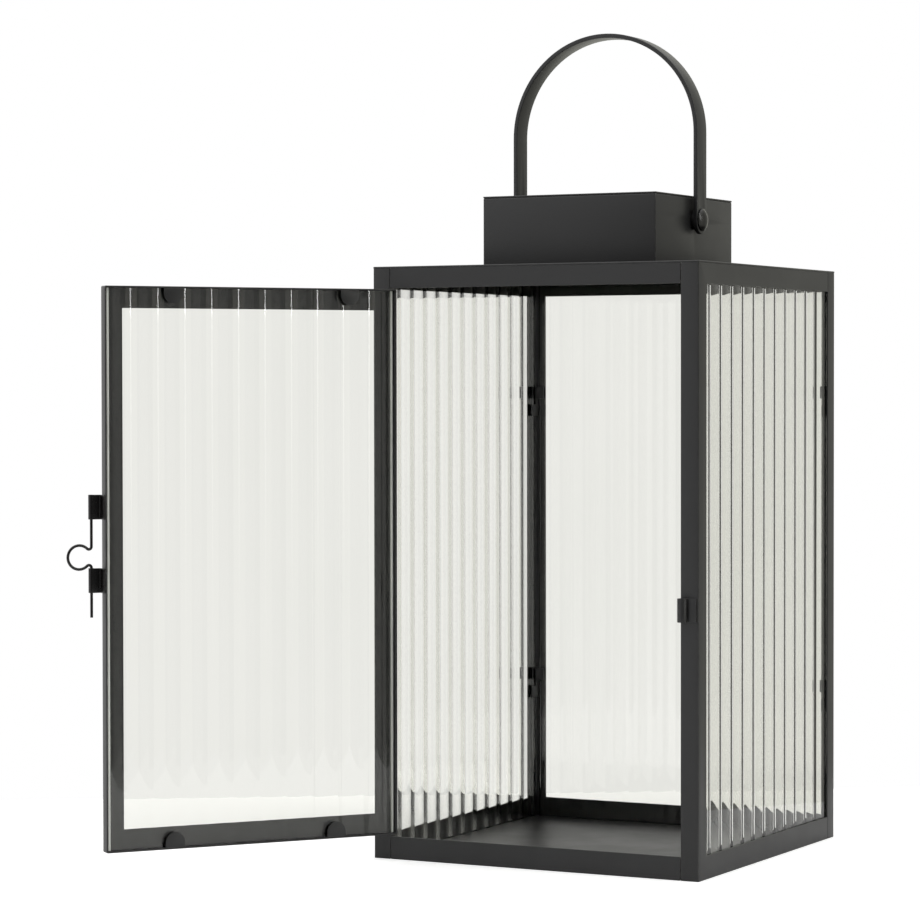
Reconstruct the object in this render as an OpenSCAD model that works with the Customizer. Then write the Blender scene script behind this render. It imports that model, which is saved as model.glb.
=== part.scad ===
// Square sheet-metal candle lantern with ribbed glass panes, a hinged front door
// held by a drop-pin latch, a square chimney cupola and a strap handle.
// Millimetres, +Z up. Origin: centre of the underside. The door is on the -Y side.

/* [Body] */
// Width and depth of the square body
body_w = 180; // [150:1:260]
// Height of the frames, from the underside to the top plate
frame_h = 300; // [240:1:480]
// Thickness of the frame sheet
sheet_t = 0.8; // [0.6:0.1:1.2]
// Width of each face of a corner post
post_w = 9.5; // [7.5:0.5:16]
// Height of the rails along the top
top_rail_h = 10; // [8:0.5:20]
// Height of the rails along the bottom
bottom_rail_h = 11.6; // [9:0.2:24]
// Thickness of the floor sheet
floor_t = 1.2; // [0.8:0.1:2]
// Thickness of the top plate
top_plate_t = 1; // [0.8:0.1:2]
// Width of the open seam between two frame sheets
seam_gap = 0.3; // [0.1:0.1:0.5]

/* [Cupola] */
// Outer width of the cap
cap_w = 97; // [80:1:130]
// Height of the cupola above the top plate, cap included
cupola_h = 36.5; // [26:0.5:60]
// Height of the cap's inner lip
lip_h = 6.7; // [4:0.1:10]
// Clearance between the cap's lip and the walls round it
lip_fit = 0.1; // [0.05:0.05:0.3]
// Width of the walls' foot flange
foot_flange_w = 5; // [3:0.5:7]
// Ledge of the top plate that shows inside the walls, round the chimney opening
chimney_ledge = 8.5; // [7.5:0.1:12]
// Diameter of a vent hole in the cap
vent_d = 8; // [4:0.5:12]
// Spacing of the vent holes
vent_pitch = 20; // [15:1:24]

/* [Glass] */
// Thickness of the glass at the bottom of a flute
glass_t = 3; // [2:0.5:4]
// Distance from one rib to the next, across a flute
rib_pitch = 14; // [8:0.5:20]
// Rise of a rib above the bottom of the flutes beside it
rib_rise = 1; // [0.5:0.1:1.5]
// Width of the flat land on top of a rib
rib_land = 0.4; // [0.2:0.1:2]
// Clearance between a pane and the metal beside it
glass_gap = 0.2; // [0.1:0.05:0.4]
// Clearance between a pane's top edge and the top plate
glass_top_gap = 2; // [1:0.5:4]
// Sideways shift of the door pane's ribs from its centre
door_rib_shift = -3.2; // [-7:0.1:7]

/* [Glass clips] */
// Thickness of a clip's sheet
clip_t = 0.7; // [0.5:0.1:1]
// Height of one ear of a clip
clip_ear_h = 6.5; // [4:0.5:10]
// Gap between the two ears of a corner clip
clip_ear_gap = 3.2; // [1:0.2:6]
// Reach of a side pane's ear from the post
clip_reach = 9.6; // [8:0.2:14]
// Width of the back pane's ear
clip_ear_w = 5.2; // [4:0.2:8]
// Height of the lower clips above the underside
low_clip_z = 67.6; // [30:0.1:90]
// Distance from the frame's top down to the upper clips' top
high_clip_drop = 60; // [30:1:90]

/* [Door] */
// Angle that the door stands open, from closed
door_open = 126.5; // [0:0.5:180]
// Gap between the hinge post and the door
hinge_gap = 3.7; // [2.5:0.1:5]
// Gap between the latch post and the door
latch_gap = 2.3; // [1.1:0.1:3.5]
// Gap between the top rail and the door
door_top_gap = 0.8; // [0.5:0.1:2]
// Gap between the bottom rail and the door
door_bottom_gap = 2.4; // [0.5:0.1:4]
// Width of the door's face at each side of its window
door_stile_w = 10.6; // [8:0.2:20]
// Height of the door's face above and below its window
door_rail_h = 10.7; // [8:0.1:20]
// Width of a glass tab
tab_w = 10; // [8:0.5:16]
// Height of a glass tab below or above its flange
tab_h = 7.5; // [6:0.5:12]
// Distance from the door's latch edge to the glass tabs near it
tab_latch_inset = 35.5; // [20:0.5:50]
// Distance from the door's hinge edge to the upper glass tab near it
tab_hinge_inset_top = 25.5; // [20:0.5:50]
// Distance from the door's hinge edge to the lower glass tab near it
tab_hinge_inset_bottom = 33.5; // [20:0.5:50]

/* [Hinges] */
// Diameter of a hinge pin
pin_d = 1.6; // [1.2:0.1:2.2]
// Radial running clearance of a hinge pin
pin_play = 0.05; // [0.03:0.01:0.1]
// Thickness of the curled sheet of the hinges, latch sleeves and keeper
curl_t = 0.7; // [0.5:0.05:0.9]
// Height of a hinge
hinge_h = 24; // [18:1:40]
// Width of a hinge leaf
leaf_w = 7.6; // [5:0.1:9]
// Gap between two knuckles
knuckle_gap = 0.3; // [0.2:0.05:0.6]
// Clearance between a knuckle and the sheet behind it
knuckle_lift = 0.3; // [0.2:0.05:0.6]
// Distance from the hinge axis to the door's hinge edge
axis_gap = 1.1; // [0.5:0.1:1.6]
// Distance from an end of the door to the middle of its hinge
hinge_inset = 45; // [25:1:70]
// Diameter of a hinge pin's head
pin_head_d = 3; // [2.6:0.1:4]
// Height of a hinge pin's head
pin_head_h = 0.8; // [0.5:0.1:1.5]

/* [Latch] */
// Diameter of the latch wire
wire_d = 1.4; // [1:0.1:1.6]
// Radial clearance of the wire in its sleeves
wire_play = 0.08; // [0.05:0.01:0.1]
// Distance from the door's latch edge to the wire
wire_reach = 4.6; // [3.4:0.1:6]
// Height of a latch sleeve
sleeve_h = 12; // [8:0.5:16]
// Clearance between a sleeve's arm and the post behind it
sleeve_lift = 0.4; // [0.3:0.05:0.8]
// Radius of the wire's finger loop, to the wire's centre
loop_r = 5.8; // [4.5:0.1:8]
// Distance from the straight wire to the centre of the finger loop
loop_reach = 6.2; // [5.5:0.1:9]
// Bend radius of the wire's shoulders
shoulder_r = 1.3; // [1.1:0.1:2]
// Travel of the wire, from locked to released
latch_travel = 13; // [9:0.5:16]
// Length of the wire's tail below the lower sleeve
tail_len = 12; // [11:0.5:16]
// Length of the tail that stands in the keeper when locked
tail_engage = 9.2; // [5:0.1:10]
// Height of the finger loop's centre above the middle of the door
latch_rise = 6; // [-20:0.1:40]
// Height of the keeper
keeper_h = 11.6; // [9:0.2:14]
// Radius of the keeper's barrel inside
keeper_r = 1.7; // [1.6:0.05:1.9]
// Distance from the wire to the keeper's axis, sideways and forwards
keeper_offset = 0.5; // [0.4:0.05:0.6]

/* [Handle] */
// Width of the handle's strap
strap_w = 12; // [8:0.5:16]
// Thickness of the handle's strap
strap_t = 2.2; // [1.5:0.1:3]
// Length of a straight leg, from the pivot to the start of the arch
leg_len = 44.8; // [36:0.2:80]
// Distance from the pivot to the centre of the leg's rounded foot
foot_drop = 1.2; // [0:0.1:3]
// Clearance on each side face of the strap
strap_gap = 0.2; // [0.1:0.05:0.4]
// Diameter of the pivot screw's shank
screw_d = 5; // [4:0.5:6]
// Radial clearance of the strap on the screw
strap_play = 0.08; // [0.05:0.01:0.1]
// Radial clearance of the screw in the washer and the wall
screw_play = 0.2; // [0.1:0.05:0.3]
// Radial clearance of the screw in its nut
nut_play = 0.05; // [0.03:0.01:0.1]
// Diameter of the screw's domed head
head_d = 11.5; // [9:0.5:14]
// Height of the screw's domed head
head_h = 2.6; // [1.5:0.1:4]
// Diameter of the spacer washer
washer_d = 10; // [8.5:0.5:12]
// Thickness of the spacer washer
washer_t = 1.6; // [1:0.1:4]
// Drop from the lower edge of the cap's lip to the washer's top
washer_drop = 0.6; // [0.3:0.1:2]
// Width of the nut across its flats
nut_flats = 8; // [7:0.5:10]
// Height of the nut
nut_h = 4; // [3:0.5:5]

/* [Hidden] */
$fn = 64;

BLACK = "#2c2c2d";
WIRE_BLACK = "#1d1d1e";
CLEAR = [0.90, 0.93, 0.91, 0.45];
MINUS_PLUS = [-1, 1];

// Body
half = body_w / 2;
inner = half - sheet_t;
top_z = frame_h + top_plate_t;
window_half = half - post_w;
window_top = frame_h - top_rail_h;

// Cupola
cap_half = cap_w / 2;
lip_half = cap_half - sheet_t - lip_fit;
cap_top = top_z + cupola_h;
lip_z = cap_top - lip_h;
chimney_half = cap_half - chimney_ledge;

// Glass: a pane's flat face is towards the outside, its flutes towards the candle
pane_t = glass_t + rib_rise;
flute_half = (rib_pitch - rib_land) / 2;
flute_r = (pow(flute_half, 2) + pow(rib_rise, 2)) / (2 * rib_rise);
pane_out = inner - glass_gap;
pane_in = pane_out - pane_t;
pane_h = frame_h - floor_t - glass_top_gap;
side_pane_w = 2 * (inner - 2 * glass_gap);

// Clips stand on the sheet's inner face, beside the side pane
clip_in = pane_in - glass_gap - clip_t;
back_pane_w = 2 * (clip_in - 2 * glass_gap);
clip_h = 2 * clip_ear_h + clip_ear_gap;
high_clip_z = frame_h - high_clip_drop - clip_h;

// Door, closed: its face is flush with the front of the posts
door_x0 = -window_half + hinge_gap;
door_x1 = window_half - latch_gap;
door_w = door_x1 - door_x0;
door_z0 = bottom_rail_h + door_bottom_gap;
door_z1 = window_top - door_top_gap;
door_h = door_z1 - door_z0;
door_depth = sheet_t + pane_t + clip_t + 2 * glass_gap;
door_pane_w = door_w - 2 * sheet_t - 2 * glass_gap;
door_pane_h = door_h - 2 * sheet_t - 2 * glass_gap;

// Hinge axis, in front of the door's edge
knuckle_r = pin_d / 2 + pin_play + curl_t;
axis_x = door_x0 - axis_gap;
axis_y = -half - knuckle_lift - knuckle_r;
knuckle_h = (hinge_h - 2 * knuckle_gap) / 3;
leaf_start = knuckle_r + knuckle_lift;
hinge_z = [door_z0 + hinge_inset - hinge_h / 2, door_z1 - hinge_inset - hinge_h / 2];

// Latch: the wire's centre line, with its loop's centre at height loop_z
sleeve_r = wire_d / 2 + wire_play + curl_t;
wire_x = door_x1 + wire_reach;
wire_y = -half - sleeve_lift - sleeve_r;
loop_z = (door_z0 + door_z1) / 2 + latch_rise;
shoulder_z = sqrt(pow(shoulder_r + loop_r, 2) - pow(loop_reach - shoulder_r, 2));
neck_angle = atan2(shoulder_z, loop_reach - shoulder_r);
sleeve_rest_gap = 0.2;
wire_sides = 16;
bend_lap = 0.5;
bend_skin = 0.01;
lower_sleeve_top = loop_z - shoulder_z - sleeve_rest_gap;
upper_sleeve_z = loop_z + shoulder_z + latch_travel + sleeve_rest_gap;
tail_z = lower_sleeve_top - sleeve_h - tail_len;
keeper_top = tail_z + tail_engage;
keeper_out_r = keeper_r + curl_t;

// Handle
pivot_z = lip_z - washer_drop - washer_d / 2;
strap_in = cap_half + washer_t + strap_gap;
strap_out = strap_in + strap_t;
arch_z = pivot_z + leg_len;
foot_z = pivot_z - foot_drop;

// A box between two opposite corners
module box(from, to) {
    translate(from) cube(to - from);
}

// A square tube with its walls inside half_w
module square_tube(half_w, wall, height) {
    inside = half_w - wall;
    linear_extrude(height) difference() {
        square(2 * half_w, center = true);
        square(2 * inside, center = true);
    }
}

// Turns the door and all it carries from closed to its rest angle
module door_pose() {
    translate([axis_x, axis_y, 0]) rotate([0, 0, -door_open])
        translate([-axis_x, -axis_y, 0]) children();
}

// One sheet side: a post with its front flange, and the two rails to the back seam
module side_frame() {
    back_end = window_half - seam_gap;
    difference() {
        box([inner, -half, 0], [half, back_end, frame_h]);
        box([inner - 1, -window_half, bottom_rail_h], [half + 1, half, window_top]);
    }
    box([window_half, -half, 0], [half, -inner, frame_h]);
}

module left_frame() {
    color(BLACK) mirror([1, 0, 0]) side_frame();
}

module right_frame() {
    color(BLACK) side_frame();
}

// The back sheet, whose flanges wrap round onto both sides
module back_frame() {
    color(BLACK) {
        difference() {
            box([-half, inner, 0], [half, half, frame_h]);
            box([-window_half, inner - 1, bottom_rail_h], [window_half, half + 1, window_top]);
        }
        for (side = MINUS_PLUS)
            translate([side * (half - sheet_t / 2), (window_half + half) / 2, frame_h / 2])
                cube([sheet_t, post_w, frame_h], center = true);
    }
}

// A front rail between the two posts' seams
module front_rail(z0, z1) {
    end = window_half - seam_gap;
    box([-end, -half, z0], [end, -inner, z1]);
}

module front_top_rail() {
    color(BLACK) front_rail(window_top, frame_h);
}

module front_bottom_rail() {
    color(BLACK) front_rail(0, bottom_rail_h);
}

module base_tray() {
    color(BLACK) box([-inner, -inner, 0], [inner, inner, floor_t]);
}

module top_plate() {
    color(BLACK) difference() {
        box([-half, -half, frame_h], [half, half, top_z]);
        box([-chimney_half, -chimney_half, frame_h - 1], [chimney_half, chimney_half, top_z + 1]);
    }
}

// Square chimney walls on a foot flange, bored for the two pivot screws
module cupola_walls() {
    wall_h = cupola_h - sheet_t;
    color(BLACK) difference() {
        union() {
            translate([0, 0, top_z]) square_tube(cap_half, sheet_t, wall_h);
            translate([0, 0, top_z]) square_tube(cap_half, sheet_t + foot_flange_w, sheet_t);
        }
        for (side = MINUS_PLUS)
            translate([side * cap_half, 0, pivot_z]) rotate([0, 90, 0])
                cylinder(r = screw_d / 2 + screw_play, h = 4 * sheet_t, center = true);
    }
}

// Flat cap on the walls' top, with a lip inside them and a grid of vent holes
module cupola_cap() {
    color(BLACK) difference() {
        union() {
            translate([0, 0, lip_z]) square_tube(lip_half, sheet_t, lip_h);
            box([-cap_half, -cap_half, cap_top - sheet_t], [cap_half, cap_half, cap_top]);
        }
        for (column = [-1 : 1], row = [-1 : 1])
            translate([column * vent_pitch, row * vent_pitch, cap_top - 2 * sheet_t])
                cylinder(d = vent_d, h = 3 * sheet_t);
    }
}

// A pane centred on X, flat at Y = 0, with flutes in its +Y face and a rib at X = shift
module ribbed_pane(width, height, shift = 0) {
    flutes = ceil(width / rib_pitch / 2) + 1;
    linear_extrude(height) difference() {
        translate([-width / 2, 0]) square([width, pane_t]);
        for (i = [-flutes : flutes])
            translate([shift + (i + 0.5) * rib_pitch, glass_t + flute_r])
                circle(r = flute_r, $fn = 360);
    }
}

module left_pane() {
    color(CLEAR) translate([-pane_out, 0, floor_t]) rotate([0, 0, -90])
        ribbed_pane(side_pane_w, pane_h);
}

module right_pane() {
    color(CLEAR) translate([pane_out, 0, floor_t]) rotate([0, 0, 90])
        ribbed_pane(side_pane_w, pane_h);
}

module back_pane() {
    color(CLEAR) translate([0, pane_out, floor_t]) rotate([0, 0, 180])
        ribbed_pane(back_pane_w, pane_h);
}

// Clip in the right back corner: the lower ear holds the side pane, the upper one
// bends round over the back pane
module corner_clip(z) {
    clip_out = clip_in + clip_t;
    upper_z = z + clip_ear_h + clip_ear_gap;
    box([clip_in, inner - clip_reach, z], [clip_out, inner, z + clip_ear_h]);
    box([clip_in, clip_in, z], [clip_out, inner, z + clip_h]);
    box([clip_out - clip_ear_w, clip_in, upper_z], [clip_out, clip_out, z + clip_h]);
}

module corner_clips() {
    color(BLACK) for (side = [0, 1], z = [low_clip_z, high_clip_z])
        mirror([side, 0, 0]) corner_clip(z);
}

// Ears on the front posts, which hold the side panes' front edges
module front_clips() {
    color(BLACK) for (side = [0, 1], z = [low_clip_z, high_clip_z])
        mirror([side, 0, 0])
            box([clip_in, -inner, z], [clip_in + clip_t, clip_reach - inner, z + clip_ear_h]);
}

// Curled barrel on the right front post that takes the latch wire's tail
module latch_keeper() {
    barrel_x = wire_x - keeper_offset;
    barrel_y = -half - keeper_out_r;
    keeper_z = keeper_top - keeper_h;
    color(BLACK) difference() {
        union() {
            translate([barrel_x, barrel_y, keeper_z]) cylinder(r = keeper_out_r, h = keeper_h);
            box([barrel_x, -half - curl_t, keeper_z], [half - 1, -half, keeper_top]);
        }
        translate([barrel_x, barrel_y, keeper_z - 1]) cylinder(r = keeper_r, h = keeper_h + 2);
    }
}

// One knuckle round the hinge axis, at height z, with its web to a leaf on the +X side
module knuckle(z, height) {
    difference() {
        union() {
            translate([0, 0, z]) cylinder(r = knuckle_r, h = height);
            box([0, knuckle_r - curl_t + knuckle_lift, z], [leaf_start, knuckle_r + knuckle_lift, z + height]);
        }
        translate([0, 0, z - 1]) cylinder(r = pin_d / 2 + pin_play, h = height + 2);
    }
}

// A leaf beyond its knuckles, on the sheet behind the hinge axis
module leaf() {
    behind = knuckle_r + knuckle_lift;
    box([leaf_start, behind - curl_t, 0], [leaf_start + leaf_w, behind, hinge_h]);
}

module at_hinges() {
    for (z = hinge_z)
        translate([axis_x, axis_y, z]) children();
}

// Leaves on the left front post, with the upper and lower knuckles
module hinge_post_leaves() {
    color(BLACK) at_hinges() mirror([1, 0, 0]) {
        leaf();
        knuckle(0, knuckle_h);
        knuckle(hinge_h - knuckle_h, knuckle_h);
    }
}

// Leaves on the door, with the middle knuckle
module hinge_door_leaves() {
    color(BLACK) door_pose() at_hinges() {
        leaf();
        knuckle(knuckle_h + knuckle_gap, knuckle_h);
    }
}

module hinge_pins() {
    color(WIRE_BLACK) at_hinges() {
        cylinder(d = pin_d, h = hinge_h);
        translate([0, 0, hinge_h]) cylinder(d = pin_head_d, h = pin_head_h);
    }
}

// Tray-shaped door frame: a face with a window, and a flange all round
module door_frame() {
    y0 = -half;
    y1 = -half + door_depth;
    color(BLACK) door_pose() difference() {
        box([door_x0, y0, door_z0], [door_x1, y1, door_z1]);
        box([door_x0 + sheet_t, y0 + sheet_t, door_z0 + sheet_t],
            [door_x1 - sheet_t, y1 + 1, door_z1 - sheet_t]);
        box([door_x0 + door_stile_w, y0 - 1, door_z0 + door_rail_h],
            [door_x1 - door_stile_w, y1, door_z1 - door_rail_h]);
    }
}

module door_pane() {
    color(CLEAR) door_pose()
        translate([(door_x0 + door_x1) / 2, -inner + glass_gap, door_z0 + sheet_t + glass_gap])
            ribbed_pane(door_pane_w, door_pane_h, door_rib_shift);
}

// A round-ended tab over the glass, hanging from Z = 0
module glass_tab() {
    tab_r = tab_w / 2;
    rotate([90, 0, 0]) linear_extrude(clip_t) {
        translate([-tab_r, tab_r - tab_h]) square([tab_w, tab_h - tab_r]);
        intersection() {
            translate([0, tab_r - tab_h]) circle(r = tab_r);
            translate([-tab_r, -tab_h]) square([tab_w, tab_h]);
        }
    }
}

module door_glass_tabs() {
    rim_y = -half + door_depth;
    color(BLACK) door_pose() {
        for (x = [door_x1 - tab_latch_inset, door_x0 + tab_hinge_inset_top])
            translate([x, rim_y, door_z1 - sheet_t]) glass_tab();
        for (x = [door_x1 - tab_latch_inset, door_x0 + tab_hinge_inset_bottom])
            translate([x, rim_y, door_z0 + sheet_t]) mirror([0, 0, 1]) glass_tab();
    }
}

// Sleeve for the latch wire: a leg on the door's edge, an arm in front of the post
// and a curled barrel
module latch_sleeve(z) {
    leg_back = -half + door_depth - glass_gap;
    arm_y = -half - sleeve_lift - curl_t;
    color(WIRE_BLACK) door_pose() difference() {
        union() {
            box([door_x1, arm_y, z], [door_x1 + curl_t, leg_back, z + sleeve_h]);
            box([door_x1, arm_y, z], [wire_x, arm_y + curl_t, z + sleeve_h]);
            translate([wire_x, wire_y, z]) cylinder(r = sleeve_r, h = sleeve_h);
        }
        translate([wire_x, wire_y, z - 1]) cylinder(r = wire_d / 2 + wire_play, h = sleeve_h + 2);
    }
}

module upper_latch_sleeve() {
    latch_sleeve(upper_sleeve_z);
}

module lower_latch_sleeve() {
    latch_sleeve(lower_sleeve_top - sleeve_h);
}

// Points of a bend in the XZ plane, each [x, z, heading], after its starting point
function bend_path(x, z, bend_r, from, to, steps) = [
    for (i = [1 : steps])
        let (a = from + (to - from) * i / steps)
            [x + bend_r * cos(a), z + bend_r * sin(a), a + (to > from ? 90 : -90)]
];

// Ring of points round one point of the path
function wire_ring(p, ring_r) = [
    for (i = [0 : wire_sides - 1])
        let (a = 360 * i / wire_sides)
            [p[0] - ring_r * cos(a) * sin(p[2]), -ring_r * sin(a), p[1] + ring_r * cos(a) * cos(p[2])]
];

// Round wire swept along a path in the XZ plane
module swept_wire(path, ring_r) {
    last = len(path) - 1;
    points = [for (p = path) each wire_ring(p, ring_r)];
    sides = [
        for (j = [0 : last - 1], i = [0 : wire_sides - 1])
            let (k = (i + 1) % wire_sides)
                [j * wire_sides + i, (j + 1) * wire_sides + i, (j + 1) * wire_sides + k, j * wire_sides + k]
    ];
    first_cap = [for (i = [0 : wire_sides - 1]) i];
    last_cap = [for (i = [wire_sides - 1 : -1 : 0]) last * wire_sides + i];
    polyhedron(points, concat([first_cap], sides, [last_cap]));
}

// Latch wire: straight through both sleeves, with a finger loop between its shoulders.
// The bent part starts and ends a little inside the straight ones.
module latch_wire() {
    upper_end = upper_sleeve_z + sleeve_h - sleeve_rest_gap;
    path = concat(
        [[0, loop_z + shoulder_z + bend_lap, 270], [0, loop_z + shoulder_z, 270]],
        bend_path(shoulder_r, loop_z + shoulder_z, shoulder_r, 180, 360 - neck_angle, 10),
        bend_path(loop_reach, loop_z, loop_r, 180 - neck_angle, neck_angle - 180, 32),
        bend_path(shoulder_r, loop_z - shoulder_z, shoulder_r, neck_angle, 180, 10),
        [[0, loop_z - shoulder_z - bend_lap, 270]]
    );
    color(WIRE_BLACK) door_pose() translate([wire_x, wire_y, 0]) {
        translate([0, 0, loop_z + shoulder_z])
            cylinder(d = wire_d, h = upper_end - loop_z - shoulder_z);
        swept_wire(path, wire_d / 2 - bend_skin);
        translate([0, 0, tail_z]) cylinder(d = wire_d, h = loop_z - shoulder_z - tail_z);
    }
}

// Bent strap with rounded feet, bored for the pivot screws
module handle_strap() {
    color(BLACK) difference() {
        union() {
            rotate([90, 0, 0]) linear_extrude(strap_w, center = true) {
                intersection() {
                    translate([0, arch_z]) difference() {
                        circle(r = strap_out, $fn = 128);
                        circle(r = strap_in, $fn = 128);
                    }
                    translate([-strap_out, arch_z]) square([2 * strap_out, strap_out]);
                }
                for (x = [-strap_out, strap_in])
                    translate([x, foot_z]) square([strap_t, arch_z - foot_z]);
            }
            for (x = [-strap_out, strap_in])
                translate([x, 0, foot_z]) rotate([0, 90, 0]) cylinder(d = strap_w, h = strap_t);
        }
        translate([0, 0, pivot_z]) rotate([0, 90, 0])
            cylinder(r = screw_d / 2 + strap_play, h = 2 * strap_out + 2, center = true);
    }
}

// Repeats a piece drawn along +X at both pivots
module at_pivots() {
    for (side = [0, 1])
        mirror([side, 0, 0]) translate([0, 0, pivot_z]) rotate([0, 90, 0]) children();
}

module spacer_washers() {
    color(BLACK) at_pivots() translate([0, 0, cap_half]) difference() {
        cylinder(d = washer_d, h = washer_t);
        translate([0, 0, -1]) cylinder(r = screw_d / 2 + screw_play, h = washer_t + 2);
    }
}

// Domed head outside the strap, on a shank that reaches through the nut
module pivot_screws() {
    shank_from = cap_half - sheet_t - nut_h - 1;
    head_from = strap_out + strap_gap;
    dome_r = (pow(head_d / 2, 2) + pow(head_h, 2)) / (2 * head_h);
    color(WIRE_BLACK) at_pivots() {
        translate([0, 0, shank_from]) cylinder(d = screw_d, h = head_from - shank_from);
        translate([0, 0, head_from]) rotate_extrude() intersection() {
            square([head_d / 2, head_h]);
            translate([0, head_h - dome_r]) circle(r = dome_r);
        }
    }
}

module screw_nuts() {
    color(BLACK) at_pivots() translate([0, 0, cap_half - sheet_t - nut_h]) difference() {
        cylinder(d = nut_flats / cos(30), h = nut_h, $fn = 6);
        translate([0, 0, -1]) cylinder(r = screw_d / 2 + nut_play, h = nut_h + 2);
    }
}

base_tray();
left_frame();
right_frame();
back_frame();
front_top_rail();
front_bottom_rail();
top_plate();
cupola_walls();
cupola_cap();
left_pane();
right_pane();
back_pane();
corner_clips();
front_clips();
latch_keeper();
hinge_post_leaves();
hinge_pins();
spacer_washers();
pivot_screws();
screw_nuts();
handle_strap();
door_frame();
door_pane();
door_glass_tabs();
hinge_door_leaves();
upper_latch_sleeve();
lower_latch_sleeve();
latch_wire();
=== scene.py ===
"""Looks of a black sheet-metal candle lantern with ribbed glass, an open door and a strap handle.

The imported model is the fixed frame, in metres. Every class dresses one sub-assembly of the
lantern, and main() builds them in order.
"""
import logging
import math
from collections.abc import Callable
from dataclasses import dataclass, field
from enum import Enum

import bmesh
import bpy
from mathutils import Matrix, Vector


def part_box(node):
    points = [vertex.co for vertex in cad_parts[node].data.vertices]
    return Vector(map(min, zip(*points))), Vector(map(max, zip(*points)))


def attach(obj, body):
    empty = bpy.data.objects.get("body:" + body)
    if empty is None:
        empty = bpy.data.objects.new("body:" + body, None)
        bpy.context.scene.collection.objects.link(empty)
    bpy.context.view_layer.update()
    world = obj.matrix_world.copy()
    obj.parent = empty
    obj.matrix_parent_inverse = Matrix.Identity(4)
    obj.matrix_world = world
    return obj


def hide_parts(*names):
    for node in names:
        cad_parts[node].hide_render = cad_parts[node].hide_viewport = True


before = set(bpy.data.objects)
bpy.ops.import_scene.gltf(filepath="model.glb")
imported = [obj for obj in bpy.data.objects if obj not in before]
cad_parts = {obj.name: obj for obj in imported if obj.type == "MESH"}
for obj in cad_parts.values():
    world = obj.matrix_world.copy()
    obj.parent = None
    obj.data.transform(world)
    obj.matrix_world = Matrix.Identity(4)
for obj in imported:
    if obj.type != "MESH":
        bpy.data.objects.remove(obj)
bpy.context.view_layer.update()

MM = 0.001
EDGE_MASK = "cut_edge"
FLAT_TURN = math.radians(0.4)
CORNER_TURN = math.radians(35)
FOLD_TURN = math.radians(60)
CURVE_TURNS = (0.01, 0.35)
NOISE_MIDDLE = (0.3, 0.7)
BREAK_MIDDLE = (0.35, 0.6)
LEAST_WEAR = 0.25
ON_LINE = 3e-7
SAME_POINT = 2e-6
log = logging.getLogger("lantern")

Point2 = tuple[float, float]
Colour = tuple[float, float, float]
Value = object


class Body(Enum):
    """The bodies that the pieces ride on."""

    LANTERN = "lantern_body"
    DOOR = "door"
    LATCH = "latch_wire"
    HANDLE = "handle"


class Slot(Enum):
    """The record's material slots."""

    COAT = "black_coat"
    HARDWARE = "black_hardware"
    GLASS = "ribbed_glass"


class Wiring:
    """Adds nodes to one node tree and links them."""

    def __init__(self, tree: bpy.types.NodeTree) -> None:
        """Keeps the tree that the nodes go into."""
        self.tree = tree

    def node(self, kind: str, feeds: dict[str | int, Value] | None = None,
             **settings: Value) -> bpy.types.Node:
        """Adds one node.

        Args:
            kind: The node's type name.
            feeds: What each input gets, by name or index: an output socket or a value.
            **settings: The node's own properties.

        Returns:
            The new node.
        """
        made = self.tree.nodes.new(kind)
        for name, value in settings.items():
            setattr(made, name, value)
        for key, value in (feeds or {}).items():
            if isinstance(value, bpy.types.NodeSocket):
                self.tree.links.new(value, made.inputs[key])
            else:
                made.inputs[key].default_value = value
        return made

    def math(self, operation: str, *terms: Value) -> bpy.types.NodeSocket:
        """Adds a Math node, and one more for each term after the second.

        Args:
            operation: The nodes' operation.
            *terms: Numbers or sockets, worked on from left to right.

        Returns:
            The last node's output.
        """
        feeds = dict(enumerate(terms[:2]))
        made = self.node("ShaderNodeMath", feeds, operation=operation).outputs[0]
        return self.math(operation, made, *terms[2:]) if terms[2:] else made

    def plus(self, *terms: Value) -> bpy.types.NodeSocket:
        """The sum of the terms."""
        return self.math("ADD", *terms)

    def minus(self, *terms: Value) -> bpy.types.NodeSocket:
        """The first term less the others."""
        return self.math("SUBTRACT", *terms)

    def times(self, *terms: Value) -> bpy.types.NodeSocket:
        """The product of the terms."""
        return self.math("MULTIPLY", *terms)

    def step(self, value: Value, low: float, high: float, to_low: Value = 0.0,
             to_high: Value = 1.0) -> bpy.types.NodeSocket:
        """Adds a smooth Map Range node.

        Args:
            value: What is mapped.
            low: Value that gives to_low.
            high: Value that gives to_high.
            to_low: Result at and below low.
            to_high: Result at and above high.

        Returns:
            The mapped value.
        """
        return self.node("ShaderNodeMapRange", {0: value, 1: low, 2: high, 3: to_low, 4: to_high},
                         interpolation_type="SMOOTHSTEP").outputs[0]

    def mix(self, factor: Value, first: Value, second: Value) -> bpy.types.NodeSocket:
        """Adds a colour mix.

        Args:
            factor: 0 gives the first colour and 1 the second.
            first: First colour.
            second: Second colour.

        Returns:
            The mixed colour.
        """
        made = self.node("ShaderNodeMix", {0: factor, 6: first, 7: second}, data_type="RGBA")
        return made.outputs[2]


def rgba(colour: Colour) -> tuple[float, float, float, float]:
    """The colour with full alpha."""
    return (*colour, 1.0)


def group_tree(name: str, kind: str, inputs: list[tuple[str, str, Value]],
               outputs: list[tuple[str, str]]) -> tuple[bpy.types.NodeTree, Wiring]:
    """Makes an empty node group with its sockets.

    Args:
        name: The group's name.
        kind: The tree's type name.
        inputs: Name, socket type and default value of each input.
        outputs: Name and socket type of each output.

    Returns:
        The tree and its wiring.
    """
    tree = bpy.data.node_groups.new(name, kind)
    for title, socket, value in inputs:
        made = tree.interface.new_socket(name=title, in_out="INPUT", socket_type=socket)
        if value is not None:
            made.default_value = value
    for title, socket in outputs:
        tree.interface.new_socket(name=title, in_out="OUTPUT", socket_type=socket)
    return tree, Wiring(tree)


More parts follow.
